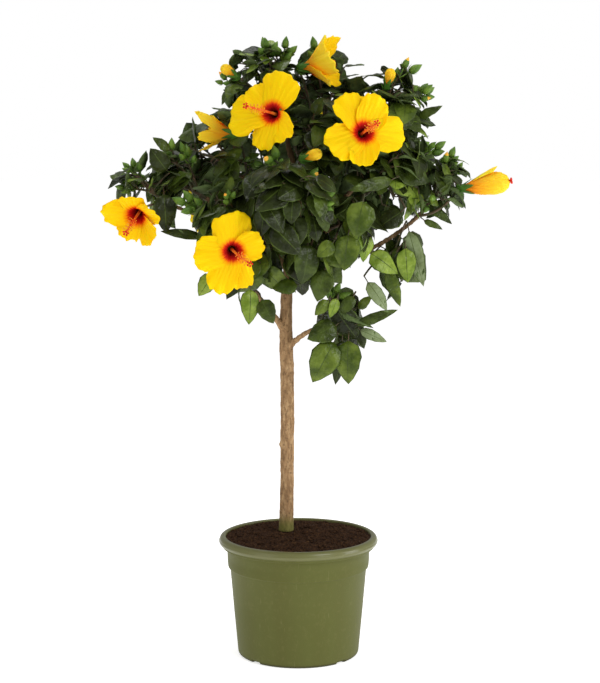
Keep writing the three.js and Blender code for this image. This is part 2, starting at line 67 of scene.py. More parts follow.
# Each bough and the mass of foliage on it: the limb that it leaves and where, an optional knee,
# its end and thickness, the mass's heart and reach, and the tips that its furthest twigs grow to.
# Some masses have their own number of twigs or size of leaf. Leaves hang flatter and further apart
# as mature goes from 0 to 1, and as shade does, fewer are fresh, the darker greens being painted shade.
CROWN = {
    "centre": dict(stock="trunk", at=1, end=(8, -6, 688), thick=11, heart=(16, -12, 716), reach=62,
                   shade=0.8),
    "top_left": dict(stock="centre", at=0.45, end=(-26, 12, 746), thick=8, heart=(-44, 16, 784),
                     reach=56, tips=[(-41, 0, 826), (-20, 6, 824)], leaf=0.85),
    "top": dict(stock="centre", at=0.8, end=(32, 36, 734), thick=8, heart=(42, 54, 768),
                reach=62, tips=[(66, 12, 812), (24, 30, 820)]),
    "top_right": dict(stock="centre", at=0.3, end=(96, 12, 716), thick=8.5, heart=(122, 20, 746),
                      reach=58, tips=[(137, 0, 798), (168, 6, 770)]),
    "upper_left": dict(stock="trunk", at=0.97, end=(-78, 14, 662), thick=9, heart=(-108, 24, 694),
                       reach=60, tips=[(-150, 0, 717)]),
    "left": dict(stock="trunk", at=0.89, knee=(-66, 10, 596), end=(-126, 6, 632), thick=9.5,
                 heart=(-160, 18, 652), reach=54, tips=[(-176, 0, 690)]),
    "far_left": dict(stock="left", at=0.55, knee=(-140, -22, 606), end=(-184, -14, 632), thick=6.5,
                     heart=(-212, -8, 656), reach=42, tips=[(-224, -4, 668), (-226, -4, 644)], twigs=4),
    "right": dict(stock="trunk", at=0.93, end=(82, -14, 634), thick=9, heart=(118, -24, 662),
                  reach=60, tips=[(176, -4, 694)]),
    "far_right": dict(stock="trunk", at=0.82, knee=(124, -22, 562), end=(172, -20, 622), thick=7.5,
                      heart=(192, -14, 650), reach=42, tips=[(200, -4, 678), (212, -10, 652)],
                      leaf=0.75),
    "right_low": dict(stock="far_right", at=0.45, end=(110, -37, 557), thick=5.5,
                      heart=(126, -34, 552), reach=48, tips=[(168, -34, 556), (146, -36, 508)], twigs=4,
                      mature=1),
    "middle_right": dict(stock="trunk", at=0.86, end=(44, -34, 594), thick=7.5, heart=(76, -44, 604),
                         reach=50, tips=[(92, -60, 560)], twigs=7, mature=0.8),
    "low_right": dict(stock="trunk", at=0.6, end=(20, -22, 456), thick=9, heart=(58, -26, 462),
                      reach=52, tips=[(46, -32, 500), (62, -40, 430)], twigs=3, mature=1),
    "left_low": dict(stock="trunk", at=0.655, knee=(-42, -12, 486), end=(-60, -26, 508), thick=9,
                     heart=(-54, -30, 534), reach=48, tips=[(-118, -34, 522), (-66, -38, 490)], twigs=6,
                     mature=0.9),
    "lower_centre": dict(stock="trunk", at=0.78, end=(8, -22, 536), thick=7, heart=(16, -32, 566),
                         reach=54, mature=0.7),
    "front_left": dict(stock="trunk", at=0.85, end=(-62, -40, 586), thick=8, heart=(-96, -54, 612),
                       reach=50, tips=[(-138, -50, 622)]),
    "front_centre": dict(stock="trunk", at=0.9, knee=(-14, -36, 590), end=(-12, -62, 620), thick=8,
                         heart=(-10, -92, 640), reach=60, tips=[(-28, -100, 687)], shade=1),
    "back_low": dict(stock="trunk", at=0.8, end=(2, 50, 556), thick=8, heart=(8, 84, 584),
                     reach=58, tips=[(30, 120, 560)]),
    "back_left": dict(stock="trunk", at=0.91, knee=(-40, 44, 600), end=(-78, 70, 640), thick=9,
                      heart=(-112, 108, 664), reach=70, tips=[(-156, 142, 690)]),
    "back_centre": dict(stock="centre", at=0.2, knee=(0, 44, 650), end=(6, 84, 692), thick=8.5,
                        heart=(5, 131, 718), reach=68, tips=[(-24, 168, 764)]),
    "back_right": dict(stock="trunk", at=0.95, knee=(44, 30, 610), end=(78, 64, 644), thick=9,
                       heart=(118, 104, 664), reach=70, tips=[(166, 136, 692)]),
}

# Full-grown leaves of the near side, by the mass whose stem they grow from: where the blade starts,
# where its tip is, its width and its tint.
NEAR_LEAVES = {
    "middle_right": [
        ((85, -95, 634), (74, -99, 586), 39, "mid"), ((66, -88, 590), (60, -92, 543), 37, "mid"),
        ((46, -86, 579), (25, -90, 561), 22, "mid"),
    ],
    "front_centre": [
        ((-34, -100, 602), (3, -104, 565), 36, "deep"), ((-45, -112, 636), (-19, -118, 593), 30, "deep"),
        ((-7, -118, 639), (-9, -122, 606), 24, "deep"),
    ],
    "right_low": [
        ((96, -60, 563), (132, -64, 536), 32, "fresh"), ((119, -58, 541), (136, -60, 492), 18, "mid"),
        ((143, -50, 569), (146, -54, 523), 27, "fresh"), ((148, -40, 591), (168, -42, 517), 23, "grey"),
        ((92, -66, 525), (118, -68, 487), 19, "grey"),
    ],
    "low_right": [
        ((48, -60, 444), (19, -66, 390), 40, "mid"), ((67, -60, 446), (67, -66, 388), 37, "mid"),
        ((59, -50, 445), (50, -56, 386), 22, "deep"), ((51, -58, 466), (12, -62, 448), 32, "dark"),
        ((78, -50, 466), (133, -50, 486), 14, "dark"), ((83, -50, 459), (119, -52, 443), 14, "grey"),
        ((74, -54, 505), (56, -58, 480), 17, "dark"), ((80, -50, 488), (98, -52, 505), 13, "mid"),
        ((40, -58, 500), (22, -62, 480), 16, "mid"), ((52, -56, 502), (42, -62, 477), 15, "fresh"),
    ],
    "lower_centre": [
        ((36, -70, 543), (25, -74, 500), 32, "dark"), ((-1, -50, 519), (-35, -52, 515), 21, "mid"),
    ],
    "left_low": [
        ((-64, -50, 514), (-66, -54, 467), 26, "fresh"), ((-114, -50, 534), (-133, -52, 505), 23, "fresh"),
        ((-49, -50, 500), (-33, -54, 468), 24, "dark"),
    ],
    "right": [
        ((137, -60, 618), (105, -64, 596), 29, "deep"), ((123, -80, 661), (66, -96, 648), 17, "dark"),
    ],
    "far_right": [
        ((174, -20, 625), (207, -22, 599), 13, "dark"), ((169, -22, 604), (194, -24, 592), 9, "dark"),
    ],
    "top_right": [
        ((162, 0, 741), (194, -2, 757), 13, "dark"),
    ],
    "left": [
        ((-180, -30, 640), (-177, -34, 588), 31, "deep"), ((-130, -30, 583), (-185, -30, 590), 13, "dark"),
        ((-173, -4, 697), (-196, -8, 715), 14, "dark"),
    ],
    "far_left": [
        ((-177, -10, 670), (-199, -12, 700), 27, "deep"),
    ],
}

# Gaps in the crown where no leaf grows, seen from the near side: the middle's x and z, and half
# the width and height.
SKY = [(-128, 690, 9, 10), (-156, 612, 11, 9), (132, 634, 7, 9)]

# Tips of budding twigs inside the masses, by the mass, and whether the first bud is about to open.
SPRIGS = {"left": [((-151, -4, 686), False)], "front_centre": [((14, -104, 658), True)],
          "low_right": [((58, -54, 490), True)]}

# Each bloom on its shoot: the limb that the shoot leaves and where, an optional knee, the bloom's
# base and axis, and how long its petals are. Flare is the angle that they turn outwards by, and a
# bloom with none is furled. Lean bends the column to a side. Turn is the angle of the first of five
# even petals, or petals gives each one's own angle, length, half width in degrees and, where it
# isn't left to chance, how far its end nods. Loose is the angle of a furled bloom's outer petal.
BLOOMS = {
    "upper_left": dict(stock="centre", at=0.75, base=(-27, -82, 746), axis=(-0.42, -0.89, 0.16),
                       petal=60, flare=88, lean=(-14, 0, 2),
                       petals=[(80, 62, 46), (137, 53, 36), (187, 73, 36), (250, 57, 34), (306, 48, 42)]),
    "upper_right": dict(stock="top_right", at=0.45, base=(81, -84, 720), axis=(0.24, -0.93, 0.22),
                        petal=62, flare=88, lean=(4, 0, 2),
                        petals=[(266, 52, 40), (118, 63, 36), (66, 57, 38), (0, 63, 40), (208, 61, 42)]),
    "lower_left": dict(stock="front_left", at=0.6, base=(-88, -96, 573), axis=(0.16, -0.95, -0.2),
                       petal=60, flare=90, lean=(16, 0, -3),
                       petals=[(20, 51, 40), (97, 60, 46), (186, 58, 42), (251, 64, 31), (294, 60, 28)]),
    "far_left": dict(stock="far_left", at=0.8, base=(-209, -37, 621), axis=(-0.3, -0.85, -0.43),
                     petal=57, flare=52, turn=20, lean=(0, 0, -4)),
    "top": dict(stock="top", at=0.7, base=(0, -8, 806), axis=(0.94, -0.22, 0.2), petal=66, flare=46,
                lean=(0, 0, -3),
                petals=[(124, 60, 46, 4), (182, 60, 48, 12), (242, 58, 44, 0), (310, 60, 40, 0),
                        (42, 66, 44, 4)]),
    "side_left": dict(stock="upper_left", at=0.85, base=(-82, -12, 720), axis=(-0.93, 0.2, 0.08),
                      petal=55, flare=32, turn=50, lean=(0, 0, -3)),
    "back_centre": dict(stock="back_centre", at=0.7, base=(54, 150, 708), axis=(0.2, 0.95, 0.15),
                        petal=60, flare=88, turn=10, lean=(8, 0, 4)),
    "back_left": dict(stock="back_left", at=0.8, base=(-104, 142, 618), axis=(-0.35, 0.92, -0.15),
                      petal=62, flare=88, turn=30, lean=(-8, 0, 2)),
    "right_furled": dict(stock="far_right", at=0.9, knee=(192, -34, 612), base=(214, -24, 646),
                         axis=(0.985, -0.05, 0.16), petal=69, flare=0, loose=90, lean=(0, 0, 0)),
    "front_furled": dict(stock="front_centre", at=0.8, base=(3, -94, 688), axis=(0.9, -0.3, 0.32),
                         petal=30, flare=0),
    "top_left_furled": dict(stock="top_left", at=0.7, base=(-80, -4, 794), axis=(-0.82, -0.15, 0.55),
                            petal=28, flare=0),
    "top_right_furled": dict(stock="top_right", at=0.85, base=(117, -6, 780), axis=(0.3, -0.2, 0.93),
                             petal=28, flare=0),
}

BOUGH = {"taper": 0.68, "lift": 0.1}
STEM_TIP = 1.8  # the radius of each mass's stem where it ends
OPEN = 50  # the flare from which a bloom is fully open
COROLLA = {"tube": 9, "tube_radius": 3.4, "tube_angle": 12, "throat": 12, "furled_radius": 0.2,
           "furled_wall": 1.6, "lobes": 5}

# Room that leaves and twigs keep: to the plane between two masses, which they may pass a little, to
# blooms, behind petals and in view before them, to limbs, and the share of its reach that a mass
# may fill.
CLEARANCE = {"neighbour": -5, "bloom": 4, "furled": 2, "behind": 3, "ball": 1.2, "view": 110,
             "limb": 1.5}

# Knots and scars on the trunk: where, how wide, and how far they stand out or sink in.
KNOTS = [((-24, 14, 291), 4, 2.4), ((-12, 11, 236), 4, -1.1), ((-9, 5, 402), 5, 1.4),
         ((-22, 9, 352), 4, -0.8), ((-9, 9, 322), 3.5, 1.0), ((-24, 14, 205), 5, 0.9)]

# ------------------------------------------------------------------ sizes of the finer growth

# Furrows, swellings and rings on the bark are as high and long as this, and each bough swells
# towards the limb that it leaves by a share that fades over the collar's length.
BARK = {
    "cell": 1.25, "furrow": 0.42, "furrow_length": 7, "swelling": 0.3, "swelling_length": 26,
    "ring": 0.55, "ring_length": 46, "collar": 0.45, "collar_length": 9,
}

# Twigs and side shoots in each mass. First is where the leaves on them begin.
TWIG = {
    "count": 9, "radius": 2.0, "tip_radius": 1.0, "reach": 0.86, "lift": 0.16, "roots": (0.25, 0.97),
    "scatter": 5, "first": 0.2,
}
SIDE_SHOOT = {
    "count": 2, "length": 0.42, "lengths": (0.8, 1.25), "radius": 1.2, "tip_radius": 0.7, "lift": 0.1,
    "roots": (0.4, 0.8), "first": 0.3, "leaf": 0.92, "grows_from": np.array([0, 10, 560]),
}

# Leaf sizes, which change with height, and the ranges that each leaf's own form is drawn from.
LEAF = {
    "spacing": 12, "low_length": 66, "high_length": 50, "low": 480, "high": 760, "spread": 0.2,
    "width": 0.72, "widths": (0.85, 1.1), "stalk": 0.22, "tries": 6, "turn_on": 0.95,
    "droop": (0.55, 1.25), "droop_from": 560, "droop_to": 800, "bend": (0.25, 1.0),
    "fold": (-0.12, 0.32), "scatter": 0.65, "faces_from": np.array([0, 10, 590]),
}

# The blade's outline is peak * v^foot * (1-v)^tip, and the rest are shares of its length or width.
BLADE = {
    "peak": 2.55, "foot": 0.55, "tip": 0.9, "tooth": 0.07, "rib": 0.016, "wave": 0.03, "waves": 1.4,
    "arch": 0.25, "roll": 0.9, "keel": 0.014, "stalk": 0.5,
}

# A bud's outline is a half width at shares of its length. Chance is that of a high twig to bud.
BUD = {
    "length": 20, "width": 11.5, "stalk": 14, "stalk_radius": 0.9, "sides": 10, "ridge": 0.1,
    "bracts": 6, "chance": 0.16, "above": 600, "ripe": 0.97, "ripe_from": 5,
}
BUD_OUTLINE = ([0, 0.12, 0.35, 0.6, 0.85, 1], [0.3, 0.75, 1, 0.82, 0.36, 0.03])

FLOWER_SHOOT = {"radius": 2.1, "tip_radius": 1.5, "lift": 0.22}

# Petals: half widths in degrees, lengths as a share of the bloom's, and how high the ruffles, the
# frill at the margin and the pleats are. The margin is shorter than the middle by shrink * |u|^power.
PETAL = {
    "thickness": 0.5, "foot_width": 68, "lengths": (0.9, 1.06), "nod": (-9, 5), "ruffle": 2.8,
    "frill": 1.7, "pleat": 0.3, "overlap": 3,
}
OPEN_PETAL = {"widths": (40, 46), "shrink": (0.24, 0.34), "power": 3.2}
HALF_OPEN_PETAL = {"widths": (38, 44), "shrink": (0.3, 0.42), "power": 1.5}

# The column: its length as a share of a petal's, and for a furled bloom that times its furled reach,
# its pollen heads and the shares of it that they stand between, and its stigma pads.
COLUMN = {
    "open_reach": 0.98, "half_open_reach": 0.72, "furled_reach": 1.4, "heads": 46, "first": 0.5,
    "last": 0.93, "head_radii": (0.6, 0.9), "stalks": (3.4, 6.4), "stalk_radius": 0.28, "pads": 5,
    "pad_out": 3.1, "pad_ahead": 3.0, "pad_radius": 1.5, "arm_radius": 0.5,
}

# The calyx: sepals that start behind the base by sink and stand off the petals, and narrow bracts. A
# small bloom's is smaller.
CALYX = {
    "sepals": 5, "length": 24, "sink": 3, "half_width": 38, "foot_radius": 2.2, "off": 1.5, "turn": 0.4,
    "bracts": 7, "small": 0.75,
}

# Loose crumbs on the potting mix.
CRUMBS = {"count": 700, "sizes": (0.9, 2.6), "lengths": (0.7, 2.2)}
LUMPS = [(1.5, 26, 2), (1.1, 8, 4), (0.7, 3, 6)]  # the mix's waves: height, length and seed


# ------------------------------------------------------------------ whole-array tools

def unit(vectors):
    """Each vector divided by its length."""
    return vectors / np.linalg.norm(vectors, axis=-1, keepdims=True)


def lerp(low, high, share):
    """low + (high - low) times share."""
    return low + (high - low) * share


def smoothstep(value, low, high):
    """Rises from 0 to 1 between low and high, as 3t^2 - 2t^3."""
    t = np.clip((value - low) / (high - low), 0, 1)
    return t * t * (3 - 2 * t)


def waves(places, length, seed, stretch=(1, 1, 1), octaves=3):
    """A smooth random field from -1 to 1: sines along random directions, at halving lengths."""
    sines, fade, gain = 7, 0.6, 1.6
    rng = np.random.default_rng(seed)
    field = np.zeros(places.shape[:-1])
    for octave in range(octaves):
        directions = unit(rng.normal(size=(sines, 3))) * (2 * math.pi / (length * 0.5 ** octave))
        phases = rng.uniform(0, 2 * math.pi, sines)
        swings = np.sin((places / np.array(stretch)) @ directions.T + phases)
        field += swings.mean(axis=-1) * fade ** octave
    return np.clip(field * gain, -1, 1)


def bezier(start, middle, end, count=33):
    """Places on the curve (1-t)^2 start + 2t(1-t) middle + t^2 end."""
    t = np.linspace(0, 1, count)[:, None]
    return (1 - t) ** 2 * start + 2 * t * (1 - t) * middle + t ** 2 * end


def between(line, steps, wanted):
    """The place on a line, or the places, at the wanted values of its steps."""
    return np.stack([np.interp(wanted, steps, line[:, k]) for k in range(3)], axis=-1)


def around(radius, angle, height):
    """Places from a radius, an angle round the Z axis and a height."""
    return np.stack(np.broadcast_arrays(radius * np.cos(angle), radius * np.sin(angle), height), axis=-1)


def turns(count):
    """Angles of a whole turn in even steps."""
    return np.arange(count) * 2 * math.pi / count


def blade_grid(rows, columns):
    """v from 0 to 1 along a blade and u from -1 to 1 across it, on a grid."""
    return np.meshgrid(np.linspace(0, 1, rows), np.linspace(-1, 1, columns), indexing="ij")


def grid_quads(rows, columns, closed=False):
    """The quads between neighbouring rows and columns of a grid, joined round when closed."""
    across = columns if closed else columns - 1
    row, column = np.meshgrid(np.arange(rows - 1), np.arange(across), indexing="ij")
    nxt = (column + 1) % columns
    corners = [row * columns + column, row * columns + nxt, (row + 1) * columns + nxt,
               (row + 1) * columns + column]
    return np.stack(corners, axis=-1).reshape(-1, 4)


def barrel(rows, columns):
    """The quads of a grid that is joined round, and a cap on its first row and its last."""
    first = np.arange(columns)[None]
    return [grid_quads(rows, columns, closed=True), first[:, ::-1], first + (rows - 1) * columns]


def inside_out(parts):
    """The same polygons facing the other way."""
    return [polygons[:, ::-1] for polygons in parts]


def repeated(polygons, count, stride):
    """The same polygons for each of count shapes that have stride places each."""
    return (polygons[None] + (np.arange(count) * stride)[:, None, None]).reshape(-1, polygons.shape[1])


class Shape:
    """Places, polygons by side count, and a finish and a (u, v) pair that go with them."""

    def __init__(self):
        self.places, self.polygons, self.finishes, self.uvs = [], [], [], []
        self.count = 0

    def add(self, places, polygons, finishes=None, uvs=None):
        """Adds places (n, 3) with a list of polygon arrays and a finish number for each polygon."""
        places = places.reshape(-1, 3)
        finishes = finishes or [np.zeros(len(p), int) for p in polygons]
        self.places.append(places)
        self.polygons += [p + self.count for p in polygons]
        self.finishes += [np.broadcast_to(f, (len(p),)) for f, p in zip(finishes, polygons)]
        self.uvs.append(np.zeros((len(places), 2)) if uvs is None else uvs.reshape(-1, 2))
        self.count += len(places)
        return self

    def piece(self, name, slot, paints, nodes=()):
        """The Blender piece, which rides on the part and stands for the given nodes."""
        places = np.concatenate(self.places) * MM
        corners = np.concatenate([p.ravel() for p in self.polygons])
        sides = np.concatenate([np.full(len(p), p.shape[1]) for p in self.polygons])
        mesh = bpy.data.meshes.new(name)
        mesh.vertices.add(len(places))
        mesh.vertices.foreach_set("co", places.ravel())
        mesh.loops.add(len(corners))
        mesh.loops.foreach_set("vertex_index", corners)
        mesh.polygons.add(len(sides))
        mesh.polygons.foreach_set("loop_start", np.cumsum(sides) - sides)
        mesh.polygons.foreach_set("material_index", np.concatenate(self.finishes))
        mesh.polygons.foreach_set("use_smooth", np.ones(len(sides), bool))
        layer = mesh.uv_layers.new(name="surface")
        layer.uv.foreach_set("vector", np.concatenate(self.uvs)[corners].ravel())
        mesh.update(calc_edges=True)
        mesh.validate()
        for paint in paints:
            mesh.materials.append(paint.material)
        made = bpy.data.objects.new(name, mesh)
        bpy.context.scene.collection.objects.link(made)
        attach(made, "root")
        if nodes:
            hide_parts(*nodes)
        return made


def tubes(paths, radii, sides):
    """Closed round tubes: rings of the given radii square to each path (n, rings, 3)."""
    count, rings, _ = paths.shape
    along = unit(np.gradient(paths, axis=1))
    chord = unit(paths[:, -1] - paths[:, 0])
    level = np.where(np.abs(chord[:, 1:2]) < 0.7, [[0.0, 1.0, 0.0]], [[1.0, 0.0, 0.0]])
    side = unit(np.cross(along, level[:, None, :]))
    across = np.cross(side, along)
    angle = turns(sides)
    ring = side[:, :, None] * np.cos(angle)[:, None] + across[:, :, None] * np.sin(angle)[:, None]
    places = paths[:, :, None] + ring * radii[:, :, None, None]
    faces = inside_out(barrel(rings, sides))
    return places, [repeated(part, count, rings * sides) for part in faces]


def sheets(tops, uvs=None):
    """Closed thin sheets: each grid (n, rows, columns, 3), the same grid lowered along its
    normal by a petal's thickness, and a strip round the rim that joins them."""
    count, rows, columns, _ = tops.shape
    normal = unit(np.cross(np.gradient(tops, axis=2), np.gradient(tops, axis=1)) + 1e-12)
    places = np.concatenate([tops, tops - normal * PETAL["thickness"]], axis=1)
    top = grid_quads(rows, columns)
    size = rows * columns
    rim = np.concatenate([
        np.arange(columns), np.arange(1, rows) * columns + columns - 1,
        (rows - 1) * columns + np.arange(columns - 2, -1, -1), np.arange(rows - 2, 0, -1) * columns,
    ])
    nxt = np.roll(rim, -1)
    edge = np.stack([rim, rim + size, nxt + size, nxt], axis=-1)
    stride = 2 * size
    polygons = [repeated(top, count, stride), repeated(top[:, ::-1] + size, count, stride),
                repeated(edge, count, stride)]
    if uvs is not None:
        uvs = np.concatenate([uvs, uvs], axis=1)
    return places, polygons, uvs


def balls(centres, radii, stretch=None, rings=5, sides=7):
    """Small closed balls, as tubes along a short path whose rings follow a half circle almost to
    its ends. The path is upright, or as long and turned as stretch says."""
    angle = np.linspace(-0.49 * math.pi, 0.49 * math.pi, rings)
    axis = np.array([[0.0, 0.0, 1.0]]) if stretch is None else stretch
    paths = centres[:, None] + axis[:, None] * (radii[:, None] * np.sin(angle))[:, :, None]
    return tubes(paths, radii[:, None] * np.cos(angle), sides)


# ------------------------------------------------------------------ finishes

def linear(code):
    """An sRGB colour as six hex digits, turned into linear light with full alpha."""
    values = np.array([int(code[i:i + 2], 16) for i in (0, 2, 4)]) / 255
    values = np.where(values <= 0.04045, values / 12.92, ((values + 0.055) / 1.055) ** 2.4)
    return (*values.tolist(), 1.0)


class Wire:
    """A socket in a sum: each operator adds its Math node to the same paint."""

    def __init__(self, paint, socket):
        self.paint, self.socket = paint, socket

    def maths(self, operation, first, second):
        """A Math node's result, from wires or numbers."""
        return self.paint.node("ShaderNodeMath", {"operation": operation}, {0: first, 1: second})

    def __add__(self, other):
        return self.maths("ADD", self, other)

    def __radd__(self, other):
        return self.maths("ADD", other, self)

    def __sub__(self, other):
        return self.maths("SUBTRACT", self, other)

    def __rsub__(self, other):
        return self.maths("SUBTRACT", other, self)

    def __mul__(self, other):
        return self.maths("MULTIPLY", self, other)

    def __rmul__(self, other):
        return self.maths("MULTIPLY", other, self)


class Paint:
    """A material on one Principled shader."""

    def __init__(self, name, **fixed):
        self.material = bpy.data.materials.new(name)
        self.material.use_nodes = True
        self.tree = self.material.node_tree
        self.shader = self.tree.nodes["Principled BSDF"]
        self.finish(**fixed)

    def node(self, kind, settings=None, values=None, output=0):
        """Adds any node: its settings first, then the values or wires of its sockets."""
        made = self.tree.nodes.new(kind)
        for key, value in (settings or {}).items():
            if key == "stops":
                ramp = made.color_ramp.elements
                while len(ramp) < len(value):
                    ramp.new(0.5)
                for stop, (place, colour) in zip(ramp, value):
                    stop.position, stop.color = place, colour
            else:
                setattr(made, key, value)
        for key, value in (values or {}).items():
            self.feed(made.inputs[key], value)
        return Wire(self, made.outputs[output])

    def feed(self, socket, value):
        """Links a wire to a socket, or sets its number or colour."""
        if isinstance(value, Wire):
            self.tree.links.new(value.socket, socket)
        else:
            socket.default_value = value

    def finish(self, **sockets):
        """Sets the shader's sockets, named with _ for a space."""
        for key, value in sockets.items():
            self.feed(self.shader.inputs[key.replace("_", " ")], value)
        return self

    def place(self):
        """The place on the piece, in metres."""
        return self.node("ShaderNodeTexCoord", output="Object")

    def part(self, vector, axis):
        """One of a vector's three numbers."""
        return self.node("ShaderNodeSeparateXYZ", values={0: vector}, output=axis)

    def scaled(self, factors):
        """The place on the piece, stretched by a factor along each axis."""
        return self.node("ShaderNodeMapping", values={"Vector": self.place(), "Scale": factors})

    def noise(self, scale, detail=3, roughness=0.55, at=None):
        """Cloudy noise from 0 to 1."""
        values = {"Vector": at or self.place(), "Scale": scale, "Detail": detail, "Roughness": roughness}
        return self.node("ShaderNodeTexNoise", values=values)

    def blend(self, share, first, second):
        """A colour between two colours."""
        settings = {"data_type": "RGBA"}
        return self.node("ShaderNodeMix", settings, {0: share, 6: first, 7: second}, output=2)

    def step(self, value, low, high):
        """Rises smoothly from 0 to 1 as the value goes from low to high."""
        settings = {"interpolation_type": "SMOOTHSTEP"}
        return self.node("ShaderNodeMapRange", settings, {0: value, 1: low, 2: high})

    def ramp(self, value, stops):
        """A colour from a value, by stops of (place, colour)."""
        return self.node("ShaderNodeValToRGB", {"stops": stops}, {0: value})

    def bump(self, height, depth):
        """A normal tilted by a height from 0 to 1 that stands for a depth in metres."""
        return self.node("ShaderNodeBump", values={"Height": height, "Distance": depth})


def leaf_paint(name, code, lighter, roughness=0.24):
    """Waxy leaf: a green that drifts to a lighter one in soft patches, with a gloss."""
    paint = Paint(name, Specular_IOR_Level=0.2)
    drift = paint.step(paint.noise(46), 0.36, 0.68)
    swell = paint.noise(130, detail=2)
    return paint.finish(
        Base_Color=paint.blend(drift, linear(code), linear(lighter)),
        Roughness=roughness + 0.12 * swell,
        Normal=paint.bump(swell, 0.0022),
    )


def bark_paint():
    """Grey-brown bark: pale and dark streaks along the limbs, dark cracks, a green bloom at the foot,
    and darker young wood high up."""
    paint = Paint("bark", Specular_IOR_Level=0.25)
    streaks = paint.noise(230, detail=5, at=paint.scaled((1, 1, 0.35)))
    patches = paint.noise(46, detail=3)
    cracks = paint.step(paint.noise(560, detail=4, at=paint.scaled((1, 1, 0.6))), 0.56, 0.68)
    wood = paint.ramp(streaks, [(0.28, linear("72563a")), (0.5, linear("a4815a")), (0.74, linear("ceac80"))])
    wood = paint.blend(0.4 * patches, wood, linear("927250"))
    wood = paint.blend(0.5 * cracks, wood, linear("4a3a28"))
    height = paint.part(paint.place(), 2)
    foot = (1 - paint.step(height, 0.174, 0.198)) * 0.75
    young = paint.step(height, 0.5, 0.6) * 0.65
    wood = paint.blend(foot, wood, linear("5f6a26"))
    wood = paint.blend(young, wood, linear("57452f"))
    return paint.finish(
        Base_Color=wood,
        Roughness=0.78 + 0.15 * streaks,
        Normal=paint.bump(streaks - 0.5 * cracks, 0.0012),
    )


def twig_paint():
    """Thin green-brown bark with a faint red, for twigs and leaf stalks."""
    paint = Paint("twig")
    patches = paint.noise(90)
    return paint.finish(
        Base_Color=paint.blend(paint.step(patches, 0.35, 0.65), linear("3a3f1e"), linear("54402a")),
        Roughness=0.55 + 0.2 * patches,
        Normal=paint.bump(paint.noise(600), 0.0004),
    )


def petal_paint(name, face):
    """Petal with u across and v out from the calyx: a dark red throat that runs into red rays and
    then clear yellow, or, on the back, orange that fades to yellow. Fine lines run outwards."""
    paint = Paint(name, Specular_IOR_Level=0.08, Subsurface_Weight=0.5, Subsurface_Scale=0.002,
                  Subsurface_Radius=(1, 0.6, 0.2))
    surface = paint.node("ShaderNodeUVMap", {"uv_map": "surface"})
    across, out = paint.part(surface, 0), paint.part(surface, 1)
    line_at = paint.node("ShaderNodeCombineXYZ", values={0: across * 34, 1: out * 2.2})
    lines = paint.noise(1, detail=2, at=line_at)
    edge = out + 0.1 * (lines - 0.5)
    if face:
        stops = [(0.0, linear("5c0408")), (0.12, linear("8c080a")), (0.18, linear("b81208")),
                 (0.215, linear("e04404")), (0.25, linear("fa9000")), (0.33, linear("fdc400")),
                 (1.0, linear("ffce00"))]
    else:
        stops = [(0.0, linear("fa5c10")), (0.14, linear("ff961c")), (0.3, linear("ffc628")),
                 (0.7, linear("ffe638")), (1.0, linear("ffde38"))]
    colour = paint.ramp(edge, stops)
    shade = paint.step(lines, 0.35, 0.75) * 0.22
    deeper = linear("f6ae00") if face else linear("f09018")
    colour = paint.blend(shade * paint.step(out, 0.3, 0.6), colour, deeper)
    return paint.finish(Base_Color=colour, Roughness=0.5 + 0.1 * lines, Normal=paint.bump(lines, 0.0006))


def pot_paint():
    """Olive moulded plastic: a satin skin with faint flow marks, dust and fine scuffs, glossier on the rim
    and painted paler there as a highlight, and painted dark at the very foot as a contact shadow."""
    paint = Paint("pot", Specular_IOR_Level=0.12)
    flow = paint.noise(26, detail=2, at=paint.scaled((1, 1, 0.12)))
    dust = paint.noise(150, detail=5, roughness=0.7)
    scuffs = paint.step(paint.noise(480, detail=2, at=paint.scaled((1, 1, 0.06))), 0.66, 0.72)
    colour = paint.blend(flow, linear("57562a"), linear("5f6433"))
    colour = paint.blend(paint.step(dust, 0.5, 0.75) * 0.25, colour, linear("767246"))
    height = paint.part(paint.place(), 2)
    rim = paint.step(height, 0.153, 0.158)
    # Painted highlight: the rim's colour is blended a little towards a pale olive.
    colour = paint.blend(rim * 0.2, colour, linear("8e8a60"))
    # Painted contact shadow: the colour darkens over the lowest few millimetres of the foot.
    foot = 1 - paint.step(height, 0.001, 0.006)
    colour = paint.blend(foot * 0.8, colour, linear("2a2814"))
    return paint.finish(
        Coat_Weight=rim * 0.6,
        Coat_Roughness=0.22,
        Base_Color=paint.blend(scuffs * 0.2, colour, linear("8e8a60")),
        Roughness=0.5 + 0.1 * dust + 0.1 * scuffs,
        Normal=paint.bump(paint.noise(900, detail=2), 0.00012),
    )


def soil_paint():
    """Crumbly peat and bark, with painted shade almost black in its hollows, and brown where it is dry."""
    paint = Paint("potting_mix", Specular_IOR_Level=0.15)
    crumbs = paint.noise(330, detail=6, roughness=0.7)
    dry = paint.step(paint.noise(60, detail=3), 0.45, 0.7)
    # The same noise sinks the bump, so the darkest colour lies in the hollows as painted shade.
    colour = paint.ramp(crumbs, [(0.3, linear("1d120b")), (0.52, linear("402a1b")), (0.75, linear("70502f"))])
    return paint.finish(
        Base_Color=paint.blend(0.35 * dry, colour, linear("563d2b")),
        Roughness=0.95,
        Normal=paint.bump(crumbs, 0.004),
    )


def plain_paint(name, code, other, scale, roughness):
    """A colour that drifts to another in soft patches, with a fine grain."""
    paint = Paint(name, Specular_IOR_Level=0.25)
    drift = paint.step(paint.noise(scale), 0.35, 0.7)
    grain = paint.noise(scale * 8, detail=2)
    return paint.finish(
        Base_Color=paint.blend(drift, linear(code), linear(other)),
        Roughness=roughness + 0.1 * grain,
        Normal=paint.bump(grain, 0.0004),
    )


